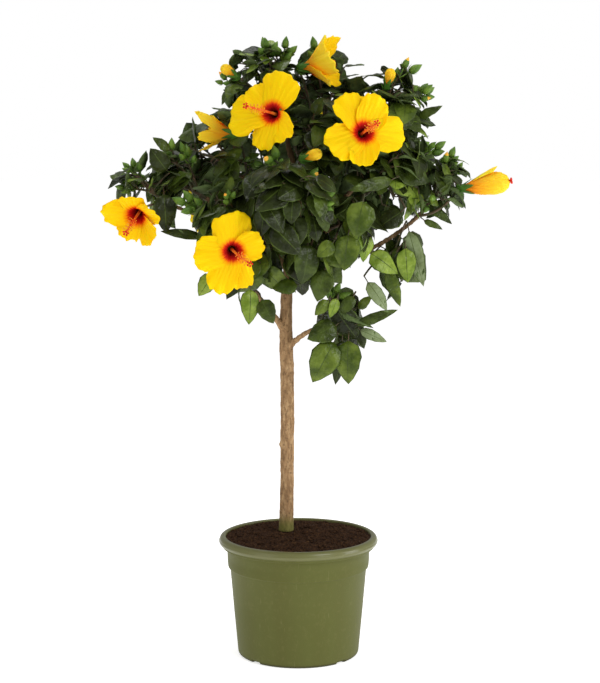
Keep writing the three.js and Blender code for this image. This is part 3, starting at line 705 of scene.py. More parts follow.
# Two greens that each leaf finish drifts between, and its roughness where it isn't waxy.
LEAF_PAINTS = {
    "leaf_deep": ("1e240b", "323c17"), "leaf_dark": ("2c3710", "4b5b20"),
    "leaf_mid": ("3c4d13", "68792c"), "leaf_fresh": ("5e7620", "8a9f40"),
    # The margin's lighter green is a painted highlight along each leaf's edge.
    "leaf_grey": ("6c7a4c", "84926a", 0.4), "leaf_margin": ("3c4a1a", "506226"),
    "leaf_midrib": ("3c491c", "4e5e28"), "leaf_underside": ("586a3a", "697c4a", 0.6),
}

# Two colours that each plain finish drifts between, the scale of its patches and its roughness.
PLAIN_PAINTS = {
    "column": ("e45416", "f68c2c", 60, 0.5), "pollen": ("f08818", "f8b43a", 200, 0.8),
    "stigma": ("d01c08", "e83a1c", 200, 0.7), "calyx": ("3f6a1e", "577f2a", 90, 0.5),
    "bud": ("4a6a20", "6c8a30", 120, 0.45), "bud_tip": ("e8bc40", "f0a030", 160, 0.5),
}

PAINTS = {name: leaf_paint(name, *row) for name, row in LEAF_PAINTS.items()}
PAINTS.update(
    bark=bark_paint(),
    twig=twig_paint(),
    petal_face=petal_paint("petal_face", True),
    petal_back=petal_paint("petal_back", False),
)
PAINTS.update({name: plain_paint(name, *row) for name, row in PLAIN_PAINTS.items()})
PAINTS.update(pot=pot_paint(), potting_mix=soil_paint())


# ------------------------------------------------------------------ limbs

class Limb:
    """A limb's middle line at even steps of its parameter, and its radius at the same steps."""

    def __init__(self, line, radii):
        self.line, self.radii = line, radii
        self.steps = np.linspace(0, 1, len(line))
        self.directions = unit(np.gradient(line, axis=0))

    def place(self, t):
        """The place at t, or the places at an array of them."""
        return between(self.line, self.steps, t)

    def ahead(self, t):
        """The direction that the limb grows in at t."""
        return unit(between(self.directions, self.steps, t))

    def radius(self, t):
        """The radius at t, or the radii at an array of them."""
        return np.interp(t, self.steps, self.radii)

    def length(self):
        """The length along the middle line."""
        return float(np.linalg.norm(np.diff(self.line, axis=0), axis=1).sum())

    def cut(self, t):
        """The limb as far as t, in the same number of steps."""
        steps = self.steps * t
        return Limb(self.place(steps), self.radius(steps))

    def tube(self, rings, sides):
        """The limb as one closed tube with even rings."""
        steps = np.linspace(0, 1, rings)
        return tubes(self.place(steps)[None], self.radius(steps)[None], sides)


def trunk_limb():
    """A Catmull-Rom curve through the trunk's points. The radius is even, thins to the tip, and
    flares at the foot by flare * exp(-rate * t)."""
    points = np.array(TRUNK["points"], float)
    points = np.vstack([2 * points[0] - points[1], points, 2 * points[-1] - points[-2]])
    t = np.linspace(0, 1, 97)
    spans = len(TRUNK["points"]) - 1
    span = np.minimum((t * spans).astype(int), spans - 1)
    s = (t * spans - span)[:, None]
    before, first, last, after = (points[span + k] for k in range(4))
    leave, arrive = (last - before) / 2, (after - first) / 2
    line = ((2 * s ** 3 - 3 * s ** 2 + 1) * first + (s ** 3 - 2 * s ** 2 + s) * leave
            + (3 * s ** 2 - 2 * s ** 3) * last + (s ** 3 - s ** 2) * arrive)
    thinning = np.clip((t - TRUNK["taper_from"]) / (1 - TRUNK["taper_from"]), 0, 1)
    radii = lerp(TRUNK["radius"], TRUNK["tip_radius"], thinning)
    return Limb(line, radii + TRUNK["flare"] * np.exp(-TRUNK["flare_rate"] * t))


def bowed(start, end, lift, radius, tip_radius, knee=None):
    """A limb from start to end by way of a knee, or of the middle raised by lift times its length."""
    start, end = np.array(start, float), np.array(end, float)
    middle = (start + end) / 2 + [0, 0, lift * np.linalg.norm(end - start)]
    line = bezier(start, middle if knee is None else np.array(knee, float), end)
    return Limb(line, np.linspace(radius, tip_radius, len(line)))


def grow_limbs():
    """The trunk and every bough by name, in the order that they grow from one another."""
    limbs = {"trunk": trunk_limb()}
    for name, row in CROWN.items():
        start = limbs[row["stock"]].place(row["at"])
        radius = row["thick"] / 2
        tip_radius = radius * BOUGH["taper"]
        limbs[name] = bowed(start, row["end"], BOUGH["lift"], radius, tip_radius, row.get("knee"))
    return limbs


LIMBS = grow_limbs()


def bark_relief(places):
    """How far the bark stands out at each place: furrows stretched along the limbs, swellings,
    rings at old leaf joints and the knots, all of which fade out at the potting mix."""
    relief = BARK["furrow"] * waves(places, BARK["furrow_length"], 3, stretch=(1, 1, 4))
    relief += BARK["swelling"] * waves(places, BARK["swelling_length"], 5)
    rings = waves(places * [0.15, 0.15, 1], BARK["ring_length"], 8, octaves=2)
    relief += BARK["ring"] * smoothstep(rings, 0.35, 0.8)
    for knot, size, height in KNOTS:
        away = np.linalg.norm(places - np.array(knot, float), axis=1)
        relief += height * np.exp(-(away / size) ** 2)
    return relief * smoothstep(places[:, 2], SOIL["top"] + 0.5, SOIL["top"] + 6)


def add_limbs():
    """One skin over the trunk and boughs. Each limb is a round tube whose foot swells where it
    leaves its stock, the tubes are fused, and the skin is moved along its normals by the bark's
    relief."""
    shape = Shape()
    for name, limb in LIMBS.items():
        steps = np.linspace(0, 1, 80 if name == "trunk" else 26)
        path, radii = limb.place(steps), limb.radius(steps)
        if name == "trunk":
            radii = radii * (1 - 0.9 * smoothstep(steps, 0.985, 1.0))
        else:
            away = steps * limb.length()
            radii = radii * (1 + BARK["collar"] * np.exp(-away / BARK["collar_length"]))
        shape.add(*tubes(path[None], radii[None], 20))
    nodes = ["trunk"] + [f"bough_{name}" for name in CROWN]
    skin = shape.piece("limbs", "bark", [PAINTS["bark"]], nodes)
    remesh = skin.modifiers.new("fuse", "REMESH")
    remesh.mode, remesh.voxel_size, remesh.use_smooth_shade = "VOXEL", BARK["cell"] * MM, True
    smooth = skin.modifiers.new("even", "SMOOTH")
    smooth.factor, smooth.iterations = 0.6, 4
    bake_modifiers(skin)
    mesh = skin.data
    count = len(mesh.vertices)
    places, normals = np.empty(count * 3), np.empty(count * 3)
    mesh.vertices.foreach_get("co", places)
    mesh.vertices.foreach_get("normal", normals)
    places, normals = places.reshape(-1, 3) / MM, normals.reshape(-1, 3)
    places += normals * bark_relief(places)[:, None]
    mesh.vertices.foreach_set("co", (places * MM).ravel())
    mesh.update()


def bake_modifiers(piece):
    """Makes the piece's mesh what its modifiers show, and takes them off."""
    ready = piece.evaluated_get(bpy.context.evaluated_depsgraph_get())
    mesh = bpy.data.meshes.new_from_object(ready)
    old, piece.data = piece.data, mesh
    piece.modifiers.clear()
    bpy.data.meshes.remove(old)


# ------------------------------------------------------------------ blooms

def corolla_line(petal, flare):
    """The corolla's middle line as (radius, height): equal steps in a direction that turns from
    the tube's angle to the flare angle past the throat."""
    steps = 18
    way = (np.arange(steps) + 0.5) / steps * petal
    turn = smoothstep(way, COROLLA["tube"] * 0.5, COROLLA["tube"] + COROLLA["throat"] * 1.6)
    angle = np.radians(lerp(COROLLA["tube_angle"], flare, turn))
    radius = COROLLA["tube_radius"] + np.concatenate([[0], np.cumsum(np.sin(angle))]) * petal / steps
    height = np.concatenate([[0], np.cumsum(np.cos(angle))]) * petal / steps
    return radius, height


def directions_of(bloom):
    """Unit directions to the bloom's right, up its face, and ahead along its axis."""
    ahead = unit(np.array(bloom["axis"], float))
    right = -unit(np.cross(ahead, [0.05, 0.02, 1]))
    return np.stack([right, np.cross(ahead, right), ahead])


def stand(places, bloom):
    """Local (right, up, ahead) places turned so that ahead is the bloom's axis, from its base."""
    return np.array(bloom["base"], float) + places @ directions_of(bloom)


def open_petals(bloom, rng):
    """Five petals on the corolla line. Across a petal (u from -1 to 1) the angle goes about 44
    degrees each way and the length shrinks by about 0.3|u|^3.2, or 0.36|u|^1.5 where the bloom is
    half open. The margin is ruffled and nibbled by sines of u that grow with v, one side rides over
    the next petal, and each petal nods by its own amount."""
    petals = COROLLA["lobes"]
    kind = OPEN_PETAL if bloom["flare"] > OPEN else HALF_OPEN_PETAL
    v, u = blade_grid(22, 41)
    radius, height = corolla_line(bloom["petal"], bloom["flare"])
    steps = np.linspace(0, 1, len(radius))
    even = [(bloom.get("turn", 0) + k * 360 / petals, bloom["petal"] * rng.uniform(*PETAL["lengths"]),
             rng.uniform(*kind["widths"])) for k in range(petals)]
    own = bloom.get("petals", even)
    grids, uvs = [], []
    for k in range(petals):
        a, b, c, d = rng.uniform(0, 2 * math.pi, 4)
        place, length, wide, *lift = own[k]
        reach = length / bloom["petal"]
        shrink = rng.uniform(*kind["shrink"])
        out = v * (1 - shrink * np.abs(u) ** kind["power"]) * reach * (1 + 0.035 * np.sin(2.2 * u + d))
        out = out + 0.011 * v ** 6 * (np.sin(8 * u + a) + np.sin(15 * u + b) + 0.9 * np.sin(25 * u + c))
        r = np.interp(np.clip(out, 0, 1), steps, radius) + np.maximum(out - 1, 0) * bloom["petal"]
        h = np.interp(np.clip(out, 0, 1), steps, height)
        ruffle = PETAL["ruffle"] * np.sin(4.6 * u + c) * v ** 3 + PETAL["frill"] * np.sin(12 * u + d) * v ** 6
        pleats = PETAL["pleat"] * np.cos(24 * u) * smoothstep(out, 0.2, 0.5)
        nod = (lift[0] if lift else rng.uniform(*PETAL["nod"])) * v ** 2.5
        h = h + ruffle + pleats + PETAL["overlap"] * u * smoothstep(v, 0.15, 0.6) + nod
        width = np.radians(lerp(PETAL["foot_width"], wide, smoothstep(out, 0.25, 0.75)))
        angle = math.radians(place) + u * width
        grids.append(around(r, angle, h))
        uvs.append(np.stack([(u + 1) / 2 + k, r / bloom["petal"]], axis=-1))
    grid = stand(np.array(grids), bloom)
    return sheets(grid[:, :, ::-1], np.array(uvs)[:, :, ::-1])


# Finishes of a bloom's petals and of its column, which are numbered in this order.
FACE, BACK = 0, 1
BARE, POLLEN, STIGMA = 0, 1, 2

# A furled bloom's radius, as a share of its widest, at shares of its length.
FURLED = ([0, 0.12, 0.28, 0.48, 0.7, 0.86, 0.96, 1], [0.22, 0.3, 0.58, 0.86, 1, 0.9, 0.55, 0.1])


def furled_petals(bloom):
    """Petals rolled round each other: a spindle of radius R(t) whose radius climbs by a tenth over
    each of five twisted sectors and then steps down to the next, like overlapping edges."""
    rows, columns = 26, 60
    t = np.linspace(0, 1, rows)[:, None]
    angle = turns(columns)[None]
    widest = bloom["petal"] * COROLLA["furled_radius"] + COROLLA["furled_wall"]
    body = np.interp(t, *FURLED)
    sector = (angle * 5 / (2 * math.pi) + 1.1 * t) % 1
    radius = widest * body * (0.9 + 0.17 * sector * smoothstep(t, 0.1, 0.4))
    height = bloom["petal"] * (t + 0.05 * (sector - 0.5) * smoothstep(t, 0.7, 1))
    uvs = np.stack([sector + 0 * t, 0.02 + 0.45 * t + 0 * angle], axis=-1)
    return stand(around(radius, angle, height), bloom), barrel(rows, columns), uvs


def loose_petal(bloom):
    """The outermost petal of a furled bloom, which has let go: a sheet that leaves the spindle at a
    third of its length, stands off by 8 s^1.6 and is round at its end."""
    s, u = blade_grid(12, 13)
    t = lerp(0.3, 0.82 - 0.1 * u ** 2, s)
    widest = bloom["petal"] * COROLLA["furled_radius"] + COROLLA["furled_wall"]
    radius = widest * 1.02 * np.interp(t, *FURLED) + 8 * s ** 1.6 * (1 - 0.5 * u ** 2)
    grid = around(radius, math.radians(bloom["loose"]) + u * 0.62, t * bloom["petal"])
    uvs = np.stack([(u + 1) / 2, 0.4 + 0.6 * s], axis=-1)
    return sheets(stand(grid[None], bloom), uvs[None])


def add_column(shape, bloom, rng, pollen=True):
    """The staminal column: a thin bent tube, pollen heads on short stalks all round its upper half,
    and five stigma pads at its end. A furled bloom's is bare but for its pads, and stands out."""
    reach = bloom["petal"] * (1 if pollen else COLUMN["furled_reach"])
    reach = reach * COLUMN["open_reach" if bloom["flare"] > OPEN else "half_open_reach"]
    t = np.linspace(0, 1, 14)[:, None]
    lean = np.array(bloom["lean"], float)
    base, (right, up, ahead) = np.array(bloom["base"], float), directions_of(bloom)
    path = base + ahead * reach * t + lean * t ** 1.6
    tube = tubes(path[None], np.interp(t.T, [0, 0.3, 1], [2.4, 1.7, 1.0]), 10)
    count = COLUMN["heads"]
    share = (np.arange(count) + rng.uniform(0, 1, count)) / count
    share = lerp(COLUMN["first"], COLUMN["last"], share)
    roots = between(path, t[:, 0], share)
    turn = np.arange(count) * GOLDEN
    outward = right * np.cos(turn)[:, None] + up * np.sin(turn)[:, None]
    ends = roots + (outward + ahead * 0.35) * rng.uniform(*COLUMN["stalks"], count)[:, None]
    stalks = tubes(np.stack([roots, ends], axis=1), np.full((count, 2), COLUMN["stalk_radius"]), 3)
    heads = balls(ends, rng.uniform(*COLUMN["head_radii"], count))
    count = COLUMN["pads"]
    spread = turns(count)
    sideways = right * np.cos(spread)[:, None] + up * np.sin(spread)[:, None]
    tips = path[-1] + sideways * COLUMN["pad_out"] + ahead * COLUMN["pad_ahead"]
    feet = np.tile(path[-1] - ahead, (count, 1))
    arms = tubes(np.stack([feet, tips], axis=1), np.full((count, 2), COLUMN["arm_radius"]), 4)
    pads = balls(tips, np.full(count, COLUMN["pad_radius"]))
    parts = [(tube, BARE), (stalks, BARE), (heads, POLLEN), (arms, STIGMA), (pads, STIGMA)]
    for (places, polygons), finish in parts if pollen else [parts[0], *parts[3:]]:
        shape.add(places, polygons, [finish] * len(polygons))


def add_blooms():
    """Petals, columns and calyces of every bloom, each kind in one piece, and their shoots."""
    rng = np.random.default_rng(17)
    petals, columns, calyces, shoots = Shape(), Shape(), Shape(), Shape()
    for bloom in BLOOMS.values():
        if bloom["flare"]:
            places, polygons, uvs = open_petals(bloom, rng)
            petals.add(places, polygons, [FACE, BACK, FACE], uvs)
            add_column(columns, bloom, rng)
        else:
            places, polygons, uvs = furled_petals(bloom)
            petals.add(places, polygons, [BACK, BACK, BACK], uvs)
        if bloom.get("loose"):
            places, polygons, uvs = loose_petal(bloom)
            petals.add(places, polygons, [BACK, FACE, BACK], uvs)
            add_column(columns, bloom, rng, pollen=False)
        stock = LIMBS[bloom["stock"]]
        shoot = bowed(stock.place(bloom["at"]), bloom["base"], FLOWER_SHOOT["lift"], FLOWER_SHOOT["radius"],
                      FLOWER_SHOOT["tip_radius"], bloom.get("knee"))
        shoots.add(*shoot.tube(14, 7))
        add_calyx(calyces, bloom)
    nodes = [f"bloom_{name}" for name in BLOOMS]
    petals.piece("petals", "petals", [PAINTS["petal_face"], PAINTS["petal_back"]], nodes)
    columns.piece("columns", "petals", [PAINTS["column"], PAINTS["pollen"], PAINTS["stigma"]])
    calyces.piece("calyces", "foliage", [PAINTS["calyx"]])
    shoots.piece("flowering_shoots", "foliage", [PAINTS["twig"]])


def foot_of(bloom, way):
    """Radius and height close behind the petals, at a distance along them from the base."""
    if bloom["flare"]:
        radius, height = corolla_line(bloom["petal"], bloom["flare"])
        steps = np.linspace(0, bloom["petal"], len(radius))
        lean = np.arctan2(np.gradient(radius), np.gradient(height))
        turn = np.interp(way, steps, lean)
        radius, height = np.interp(way, steps, radius), np.interp(way, steps, height)
        return radius + CALYX["off"] * np.cos(turn), height - CALYX["off"] * np.sin(turn)
    widest = bloom["petal"] * COROLLA["furled_radius"] + COROLLA["furled_wall"]
    return 1.2 + widest * 1.07 * np.interp(way / bloom["petal"], *FURLED), way


def add_calyx(shape, bloom):
    """Five pointed sepals in a cup that follows the corolla's foot, and a ring of narrow bracts."""
    size = 1.0 if bloom["petal"] > 40 else CALYX["small"]
    v, u = blade_grid(9, 7)
    way = size * (CALYX["length"] * v - CALYX["sink"])
    foot_radius, foot_height = foot_of(bloom, np.maximum(way, 0))
    radius = lerp(CALYX["foot_radius"], foot_radius, smoothstep(v, 0, 0.25))
    height = foot_height + np.minimum(way, 0)
    width = math.radians(CALYX["half_width"]) * np.interp(v, [0, 0.45, 1], [1, 0.95, 0.05])
    middles = [CALYX["turn"] + k * 2 * math.pi / CALYX["sepals"] for k in range(CALYX["sepals"])]
    grids = [around(radius, middle + u * width, height) for middle in middles]
    places, polygons, _ = sheets(stand(np.array(grids), bloom))
    shape.add(places, polygons)
    t = np.linspace(0, 1, 5)[:, None]
    outward = around(1, turns(CALYX["bracts"]), 0)[:, None]
    paths = outward * size * (2 + 9 * t ** 0.8) + np.array([0, 0, 1.0]) * size * (10 * t ** 1.3 - 2)
    paths = stand(paths, bloom)
    radii = np.array([1.0, 1.1, 0.9, 0.6, 0.15]) * size
    shape.add(*tubes(paths, np.tile(radii, (CALYX["bracts"], 1)), 4))


# Each open bloom's corolla line, by its name.
LINES = {name: corolla_line(b["petal"], b["flare"]) for name, b in BLOOMS.items() if b["flare"]}


def meets_bloom(places):
    """Whether any place lies in a bloom's cup, close behind its petals, or in view before it."""
    for name, bloom in BLOOMS.items():
        ahead = directions_of(bloom)[2]
        away = places - np.array(bloom["base"], float)
        height = away @ ahead
        radius = np.sqrt(np.maximum(0, (away ** 2).sum(axis=1) - height ** 2))
        near = CLEARANCE["bloom"]
        if not bloom["flare"]:
            widest = bloom["petal"] * COROLLA["furled_radius"] + CLEARANCE["furled"] + near
            hit = (height > -near) & (height < bloom["petal"] + near) & (radius < widest)
        else:
            line_radius, line_height = LINES[name]
            rim = line_radius.max() + near
            behind = np.interp(radius, line_radius, line_height) - near - CLEARANCE["behind"]
            view = CLEARANCE["view"] if bloom["flare"] > OPEN else near
            hit = (radius < rim) & (height > behind) & (height < bloom["petal"] + view)
        if hit.any():
            return True
    return False


# ------------------------------------------------------------------ foliage

HEARTS = np.array([row["heart"] for row in CROWN.values()], float)
REACHES = np.array([row["reach"] for row in CROWN.values()], float)
LIMB_LINES = np.concatenate([limb.line[2:] for limb in LIMBS.values()])
LIMB_RADII = np.concatenate([limb.radii[2:] for limb in LIMBS.values()])


def in_space(index, places):
    """Whether all places lie in a mass's space: within its ball, and on its side of the planes
    halfway to its neighbours, which are moved in proportion to their reaches."""
    squares = ((places[:, None] - HEARTS[None]) ** 2).sum(axis=2) - REACHES ** 2
    apart = np.linalg.norm(HEARTS - HEARTS[index], axis=1)
    apart[index] = 1
    room = (squares - squares[:, index:index + 1]) / (2 * apart) - CLEARANCE["neighbour"]
    room[:, index] = REACHES[index] * CLEARANCE["ball"] - np.linalg.norm(places - HEARTS[index], axis=1)
    return bool((room > 0).all())


def meets_limb(places):
    """Whether a place lies in the trunk or a bough."""
    away = np.linalg.norm(places[:, None] - LIMB_LINES[None], axis=2)
    return bool((away < LIMB_RADII + CLEARANCE["limb"]).any())


class Leaves:
    """Rows of leaf sizes and places, which become one mesh."""

    names = ("root", "foot", "ahead", "face", "length", "width", "bend", "fold", "twist", "tint")

    def __init__(self):
        self.rows = []

    def add(self, **row):
        """One leaf, with a value for each name."""
        self.rows.append(row)

    def arrays(self):
        """All leaves, as one array for each name."""
        return {name: np.array([row[name] for row in self.rows], float) for name in self.names}


def leaf_grid(leaf):
    """Upper skins of leaves (n, rows, columns, 3). The width is 2.55 v^0.55 (1-v)^0.9 of the widest,
    with small teeth. The midrib bends down along an arc, the halves fold about it and arch a
    little, ribs rise and fall by turns along each half, and the blade twists towards its tip."""
    rows = 9
    columns = np.array([-1, -0.94, -0.45, -0.04, 0.04, 0.45, 0.94, 1])
    v = np.linspace(0, 1, rows)[None, :, None]
    s = columns[None, None]
    length, bend = leaf["length"][:, None, None], leaf["bend"][:, None, None]
    half = BLADE["peak"] * v ** BLADE["foot"] * (1 - v) ** BLADE["tip"]
    half = half * leaf["width"][:, None, None] * length / 2
    odd = (np.arange(rows) % 2)[None, :, None]
    teeth = 1 + BLADE["tooth"] * odd * (np.abs(s) > 0.95)
    x = s * (half * teeth + BLADE["stalk"] * (1 - v))
    rib = BLADE["rib"] * length * (2 * odd - 1) * (np.abs(np.abs(s) - 0.45) < 0.1)
    phase = BLADE["waves"] * v + leaf["twist"][:, None, None]
    wave = BLADE["wave"] * length * np.sin(2 * math.pi * phase) * s ** 2
    middle = np.sqrt(v * (1 - v)) * 2
    arch = leaf["fold"][:, None, None] * np.abs(x) - BLADE["arch"] * np.abs(x) * np.abs(s)
    lift = arch + rib * middle + wave * middle
    y = length * np.sin(bend * v) / bend
    z = -length * (1 - np.cos(bend * v)) / bend
    ahead, face = leaf["ahead"][:, None, None], leaf["face"][:, None, None]
    across = np.cross(ahead, face)
    angle = (bend * v)[..., None]
    up = face * np.cos(angle) + ahead * np.sin(angle)
    roll = (leaf["twist"][:, None, None] - 0.5)[..., None] * v[..., None] * BLADE["roll"]
    level = across * np.cos(roll) + up * np.sin(roll)
    up = up * np.cos(roll) - across * np.sin(roll)
    return (leaf["foot"][:, None, None] + ahead * y[..., None] + face * z[..., None]
            + level * x[..., None] + up * lift[..., None])


# The finishes of a leaf's faces, which are numbered in this order.
TINTS = tuple(LEAF_PAINTS)
MARGIN, MIDRIB, UNDERSIDE = (TINTS.index(f"leaf_{part}") for part in ("margin", "midrib", "underside"))


def leaf_shape(leaf):
    """Closed leaves: the upper skin, a lower skin on one line below the midrib, and small end
    faces. The blade takes the leaf's tint, with its own finish for margin, midrib and underside. The
    margin's lighter green is a painted highlight along the edge."""
    top = leaf_grid(leaf)
    count, rows, columns, _ = top.shape
    keel = (leaf["length"] * BLADE["keel"])[:, None, None]
    middle = top[:, :, 3:5].mean(axis=2) - leaf["face"][:, None] * keel
    places = np.concatenate([top.reshape(count, -1, 3), middle], axis=1)
    stride = rows * columns + rows
    upper = grid_quads(rows, columns)
    row = np.arange(rows - 1)
    left, right, low = row * columns, row * columns + columns - 1, rows * columns + row
    under = np.concatenate([np.stack([left, left + columns, low + 1, low], axis=-1),
                            np.stack([low, low + 1, right + columns, right], axis=-1)])
    foot = np.array([[*range(columns - 1, -1, -1), rows * columns]])
    tip = np.array([[*(np.arange(columns) + (rows - 1) * columns), stride - 1]])
    kinds = np.tile([MARGIN, -1, -1, MIDRIB, -1, -1, MARGIN], rows - 1)
    tints = np.where(kinds[None] < 0, leaf["tint"][:, None].astype(int), kinds[None])
    polygons = [repeated(upper, count, stride), repeated(under, count, stride),
                repeated(foot, count, stride), repeated(tip, count, stride)]
    return places, polygons, [tints.ravel(), UNDERSIDE, UNDERSIDE, UNDERSIDE]


def hides_sky(foot, tip, beside):
    """Whether a leaf from foot to tip, and this wide to each side, lies across a gap."""
    along = np.linspace(0, 1, 6)[:, None]
    spread = beside * np.sqrt(along * (1 - along)) * 2
    line = foot + (tip - foot) * along
    places = np.concatenate([line, line + spread, line - spread])[:, None, [0, 2]]
    gaps = np.array(SKY, float)
    return bool(((((places - gaps[None, :, :2]) / gaps[None, :, 2:]) ** 2).sum(axis=2) < 1).any())


def hides_near_leaf(places):
    """Whether a place lies in front of a near leaf's blade, as an ellipse seen from the front."""
    away = places[:, None, [0, 2]] - NEAR_MIDDLES[None][:, :, [0, 2]]
    along = (away * NEAR_WAYS[None]).sum(axis=2) / NEAR_HALVES[:, 0]
    across = (away[..., 0] * NEAR_WAYS[:, 1] - away[..., 1] * NEAR_WAYS[:, 0]) / NEAR_HALVES[:, 1]
    in_front = places[:, None, 1] < NEAR_MIDDLES[None, :, 1] + 6
    return bool((in_front & (along ** 2 + across ** 2 < 0.9)).any())


def near_leaf_sizes():
    """Middles, directions across the front, and half lengths and widths of the near leaves."""
    rows = [row for group in NEAR_LEAVES.values() for row in group]
    feet, tips = (np.array([row[k] for row in rows], float) for k in (0, 1))
    ways = (tips - feet)[:, [0, 2]]
    lengths = np.linalg.norm(ways, axis=1)
    halves = np.stack([lengths / 2, [row[2] / 2 for row in rows]], axis=1)
    return (feet + tips) / 2, ways / lengths[:, None], halves


NEAR_MIDDLES, NEAR_WAYS, NEAR_HALVES = near_leaf_sizes()


# Near leaves name their tint. Others take one of the first four by these shares, and the shaded
# shares give a mass darker greens as painted shade.
NEAR_TINTS = ("deep", "dark", "mid", "fresh", "grey")
FRESH_SHARES = np.array([0.32, 0.38, 0.22, 0.08])
SHADED_SHARES = np.array([0.64, 0.3, 0.05, 0.01])


class Mass:
    """One mass of foliage: its row, its own random draws, and the lists of leaves, twigs and bud
    clusters that it adds to."""

    def __init__(self, name, leaves, twigs, clusters):
        self.name, self.row = name, CROWN[name]
        self.index = list(CROWN).index(name)
        self.leaves, self.twigs, self.clusters = leaves, twigs, clusters
        self.rng = np.random.default_rng(100 + self.index)
        self.mature, self.shade = self.row.get("mature", 0), self.row.get("shade", 0)
        height = smoothstep(self.row["heart"][2], LEAF["low"], LEAF["high"])
        self.size = lerp(LEAF["low_length"], LEAF["high_length"], height) * self.row.get("leaf", 1)

    def stem(self):
        """The mass's stem: on from the bough's tip in the bough's direction, and over to the heart."""
        bough, heart = LIMBS[self.name], np.array(self.row["heart"], float)
        ahead = bough.ahead(1)
        start = bough.place(1) + ahead * GAP
        knee = start + ahead * np.linalg.norm(heart - start) * 0.4
        return bowed(start - ahead * 3, heart, 0, bough.radius(1) * 0.9, STEM_TIP, knee)

    def targets(self):
        """Where twigs grow to, as (place, kind, yellow): the mass's furthest tips, its sprigs, and
        places spread evenly over its space by the golden angle."""
        row = self.row
        tips = [(np.array(tip, float), "tip", False) for tip in row.get("tips", [])]
        sprigs = [(np.array(tip, float), "sprig", yellow) for tip, yellow in SPRIGS.get(self.name, [])]
        count = row.get("twigs", TWIG["count"])
        z = 1 - 2 * (np.arange(count) + 0.5) / count
        spread = around(np.sqrt(1 - z * z), np.arange(count) * GOLDEN, z) * row["reach"] * TWIG["reach"]
        even = [(place, "spread", False) for place in spread + np.array(row["heart"], float)]
        return tips + sprigs + even

    def pick_tint(self):
        """Mostly deep and dark greens, with fresher sprays among them, and fewer in a shaded mass, as painted
        shade.
        """
        return int(self.rng.choice(4, p=lerp(FRESH_SHARES, SHADED_SHARES, self.shade)))

    def has_room(self, places):
        """Whether a twig keeps to the mass's space and crosses neither a bloom nor a near leaf."""
        return in_space(self.index, places) and not meets_bloom(places) and not hides_near_leaf(places)

    def add_near_leaves(self, stem):
        """The mass's near leaves, each on a short shoot from the closest place on its stem. The
        blade bends by b, so it starts turned up by b/2 from the straight line to its tip."""
        rng = np.random.default_rng(500 + self.index)
        for foot, tip, width, tint in NEAR_LEAVES.get(self.name, []):
            foot, tip = np.array(foot, float), np.array(tip, float)
            bend = rng.uniform(0.35, 0.75)
            chord = unit(tip - foot)
            face = np.array([rng.uniform(-0.35, 0.35), -1, rng.uniform(0.1, 0.5)])
            face = unit(face - chord * (face @ chord))
            ahead = chord * math.cos(bend / 2) + face * math.sin(bend / 2)
            face = face * math.cos(bend / 2) - chord * math.sin(bend / 2)
            length = np.linalg.norm(tip - foot) * 1.02
            root = foot - ahead * length * 0.16 + [0, 4, 2]
            close = int(np.argmin(np.linalg.norm(stem.line[8:] - root, axis=1))) + 8
            shoot = bowed(stem.line[close], root, 0.12, SIDE_SHOOT["radius"] * 1.3, SIDE_SHOOT["radius"])
            self.twigs.append(shoot)
            self.leaves.add(root=root, foot=foot, ahead=ahead, face=face, length=length,
                            width=width / length, bend=bend, fold=rng.uniform(0, 0.22),
                            twist=rng.uniform(0.2, 0.8), tint=NEAR_TINTS.index(tint))

    def try_leaf(self, limb, t, turn, size, youth, tint):
        """Grows one leaf where its probes have room, turning it on round the twig a few times, and
        tells whether it found room. Leaves of a mature mass hang, and show their faces to the side."""
        rng, mature = self.rng, self.mature
        root, along = limb.place(t), limb.ahead(t)
        side = unit(np.cross(along, [0.0, 1.0, 0.0] if abs(along[1]) < 0.7 else [1.0, 0.0, 0.0]))
        across = np.cross(side, along)
        scatter = rng.uniform(-1, 1, 3)
        height = smoothstep(root[2], LEAF["droop_from"], LEAF["droop_to"])
        droop = rng.uniform(*LEAF["droop"]) * lerp(1.0, 0.35, height) * lerp(1, 0.2, youth) + 0.7 * mature
        bend = rng.uniform(*LEAF["bend"]) * lerp(1, 0.5, youth)
        twist = rng.uniform(0, 1)
        width = LEAF["width"] * rng.uniform(*LEAF["widths"]) * lerp(1, 0.72, youth)
        fold = lerp(rng.uniform(*LEAF["fold"]), 0.6, youth)
        lift = [0, 0, lerp(0.55, 0.15, mature)]
        for attempt in range(LEAF["tries"]):
            angle = turn + attempt * LEAF["turn_on"]
            outward = side * math.cos(angle) + across * math.sin(angle)
            foot = root + unit(outward + along * 0.5) * size * LEAF["stalk"]
            ahead = unit(along * lerp(0.45, 1.2, youth) + outward + [0, 0, -droop])
            face = unit(foot - LEAF["faces_from"]) + lift + LEAF["scatter"] * scatter
            face = unit(face - ahead * (face @ ahead))
            length = size * (1 - 0.05 * attempt)
            tip = foot + (ahead * math.cos(bend / 2) - face * math.sin(bend / 2)) * length * 0.97
            beside = np.cross(ahead, face) * width * length * 0.42
            middle = (foot + tip) / 2
            probes = np.array([foot, middle, tip, middle + beside, middle - beside])
            blocked = meets_bloom(probes) or meets_limb(probes[1:]) or hides_near_leaf(probes)
            if blocked or hides_sky(foot, tip, beside) or not in_space(self.index, probes):
                continue
            self.leaves.add(root=root, foot=foot, ahead=ahead, face=face, length=length, width=width,
                            bend=bend, fold=fold, twist=twist, tint=tint)
            return True
        return False

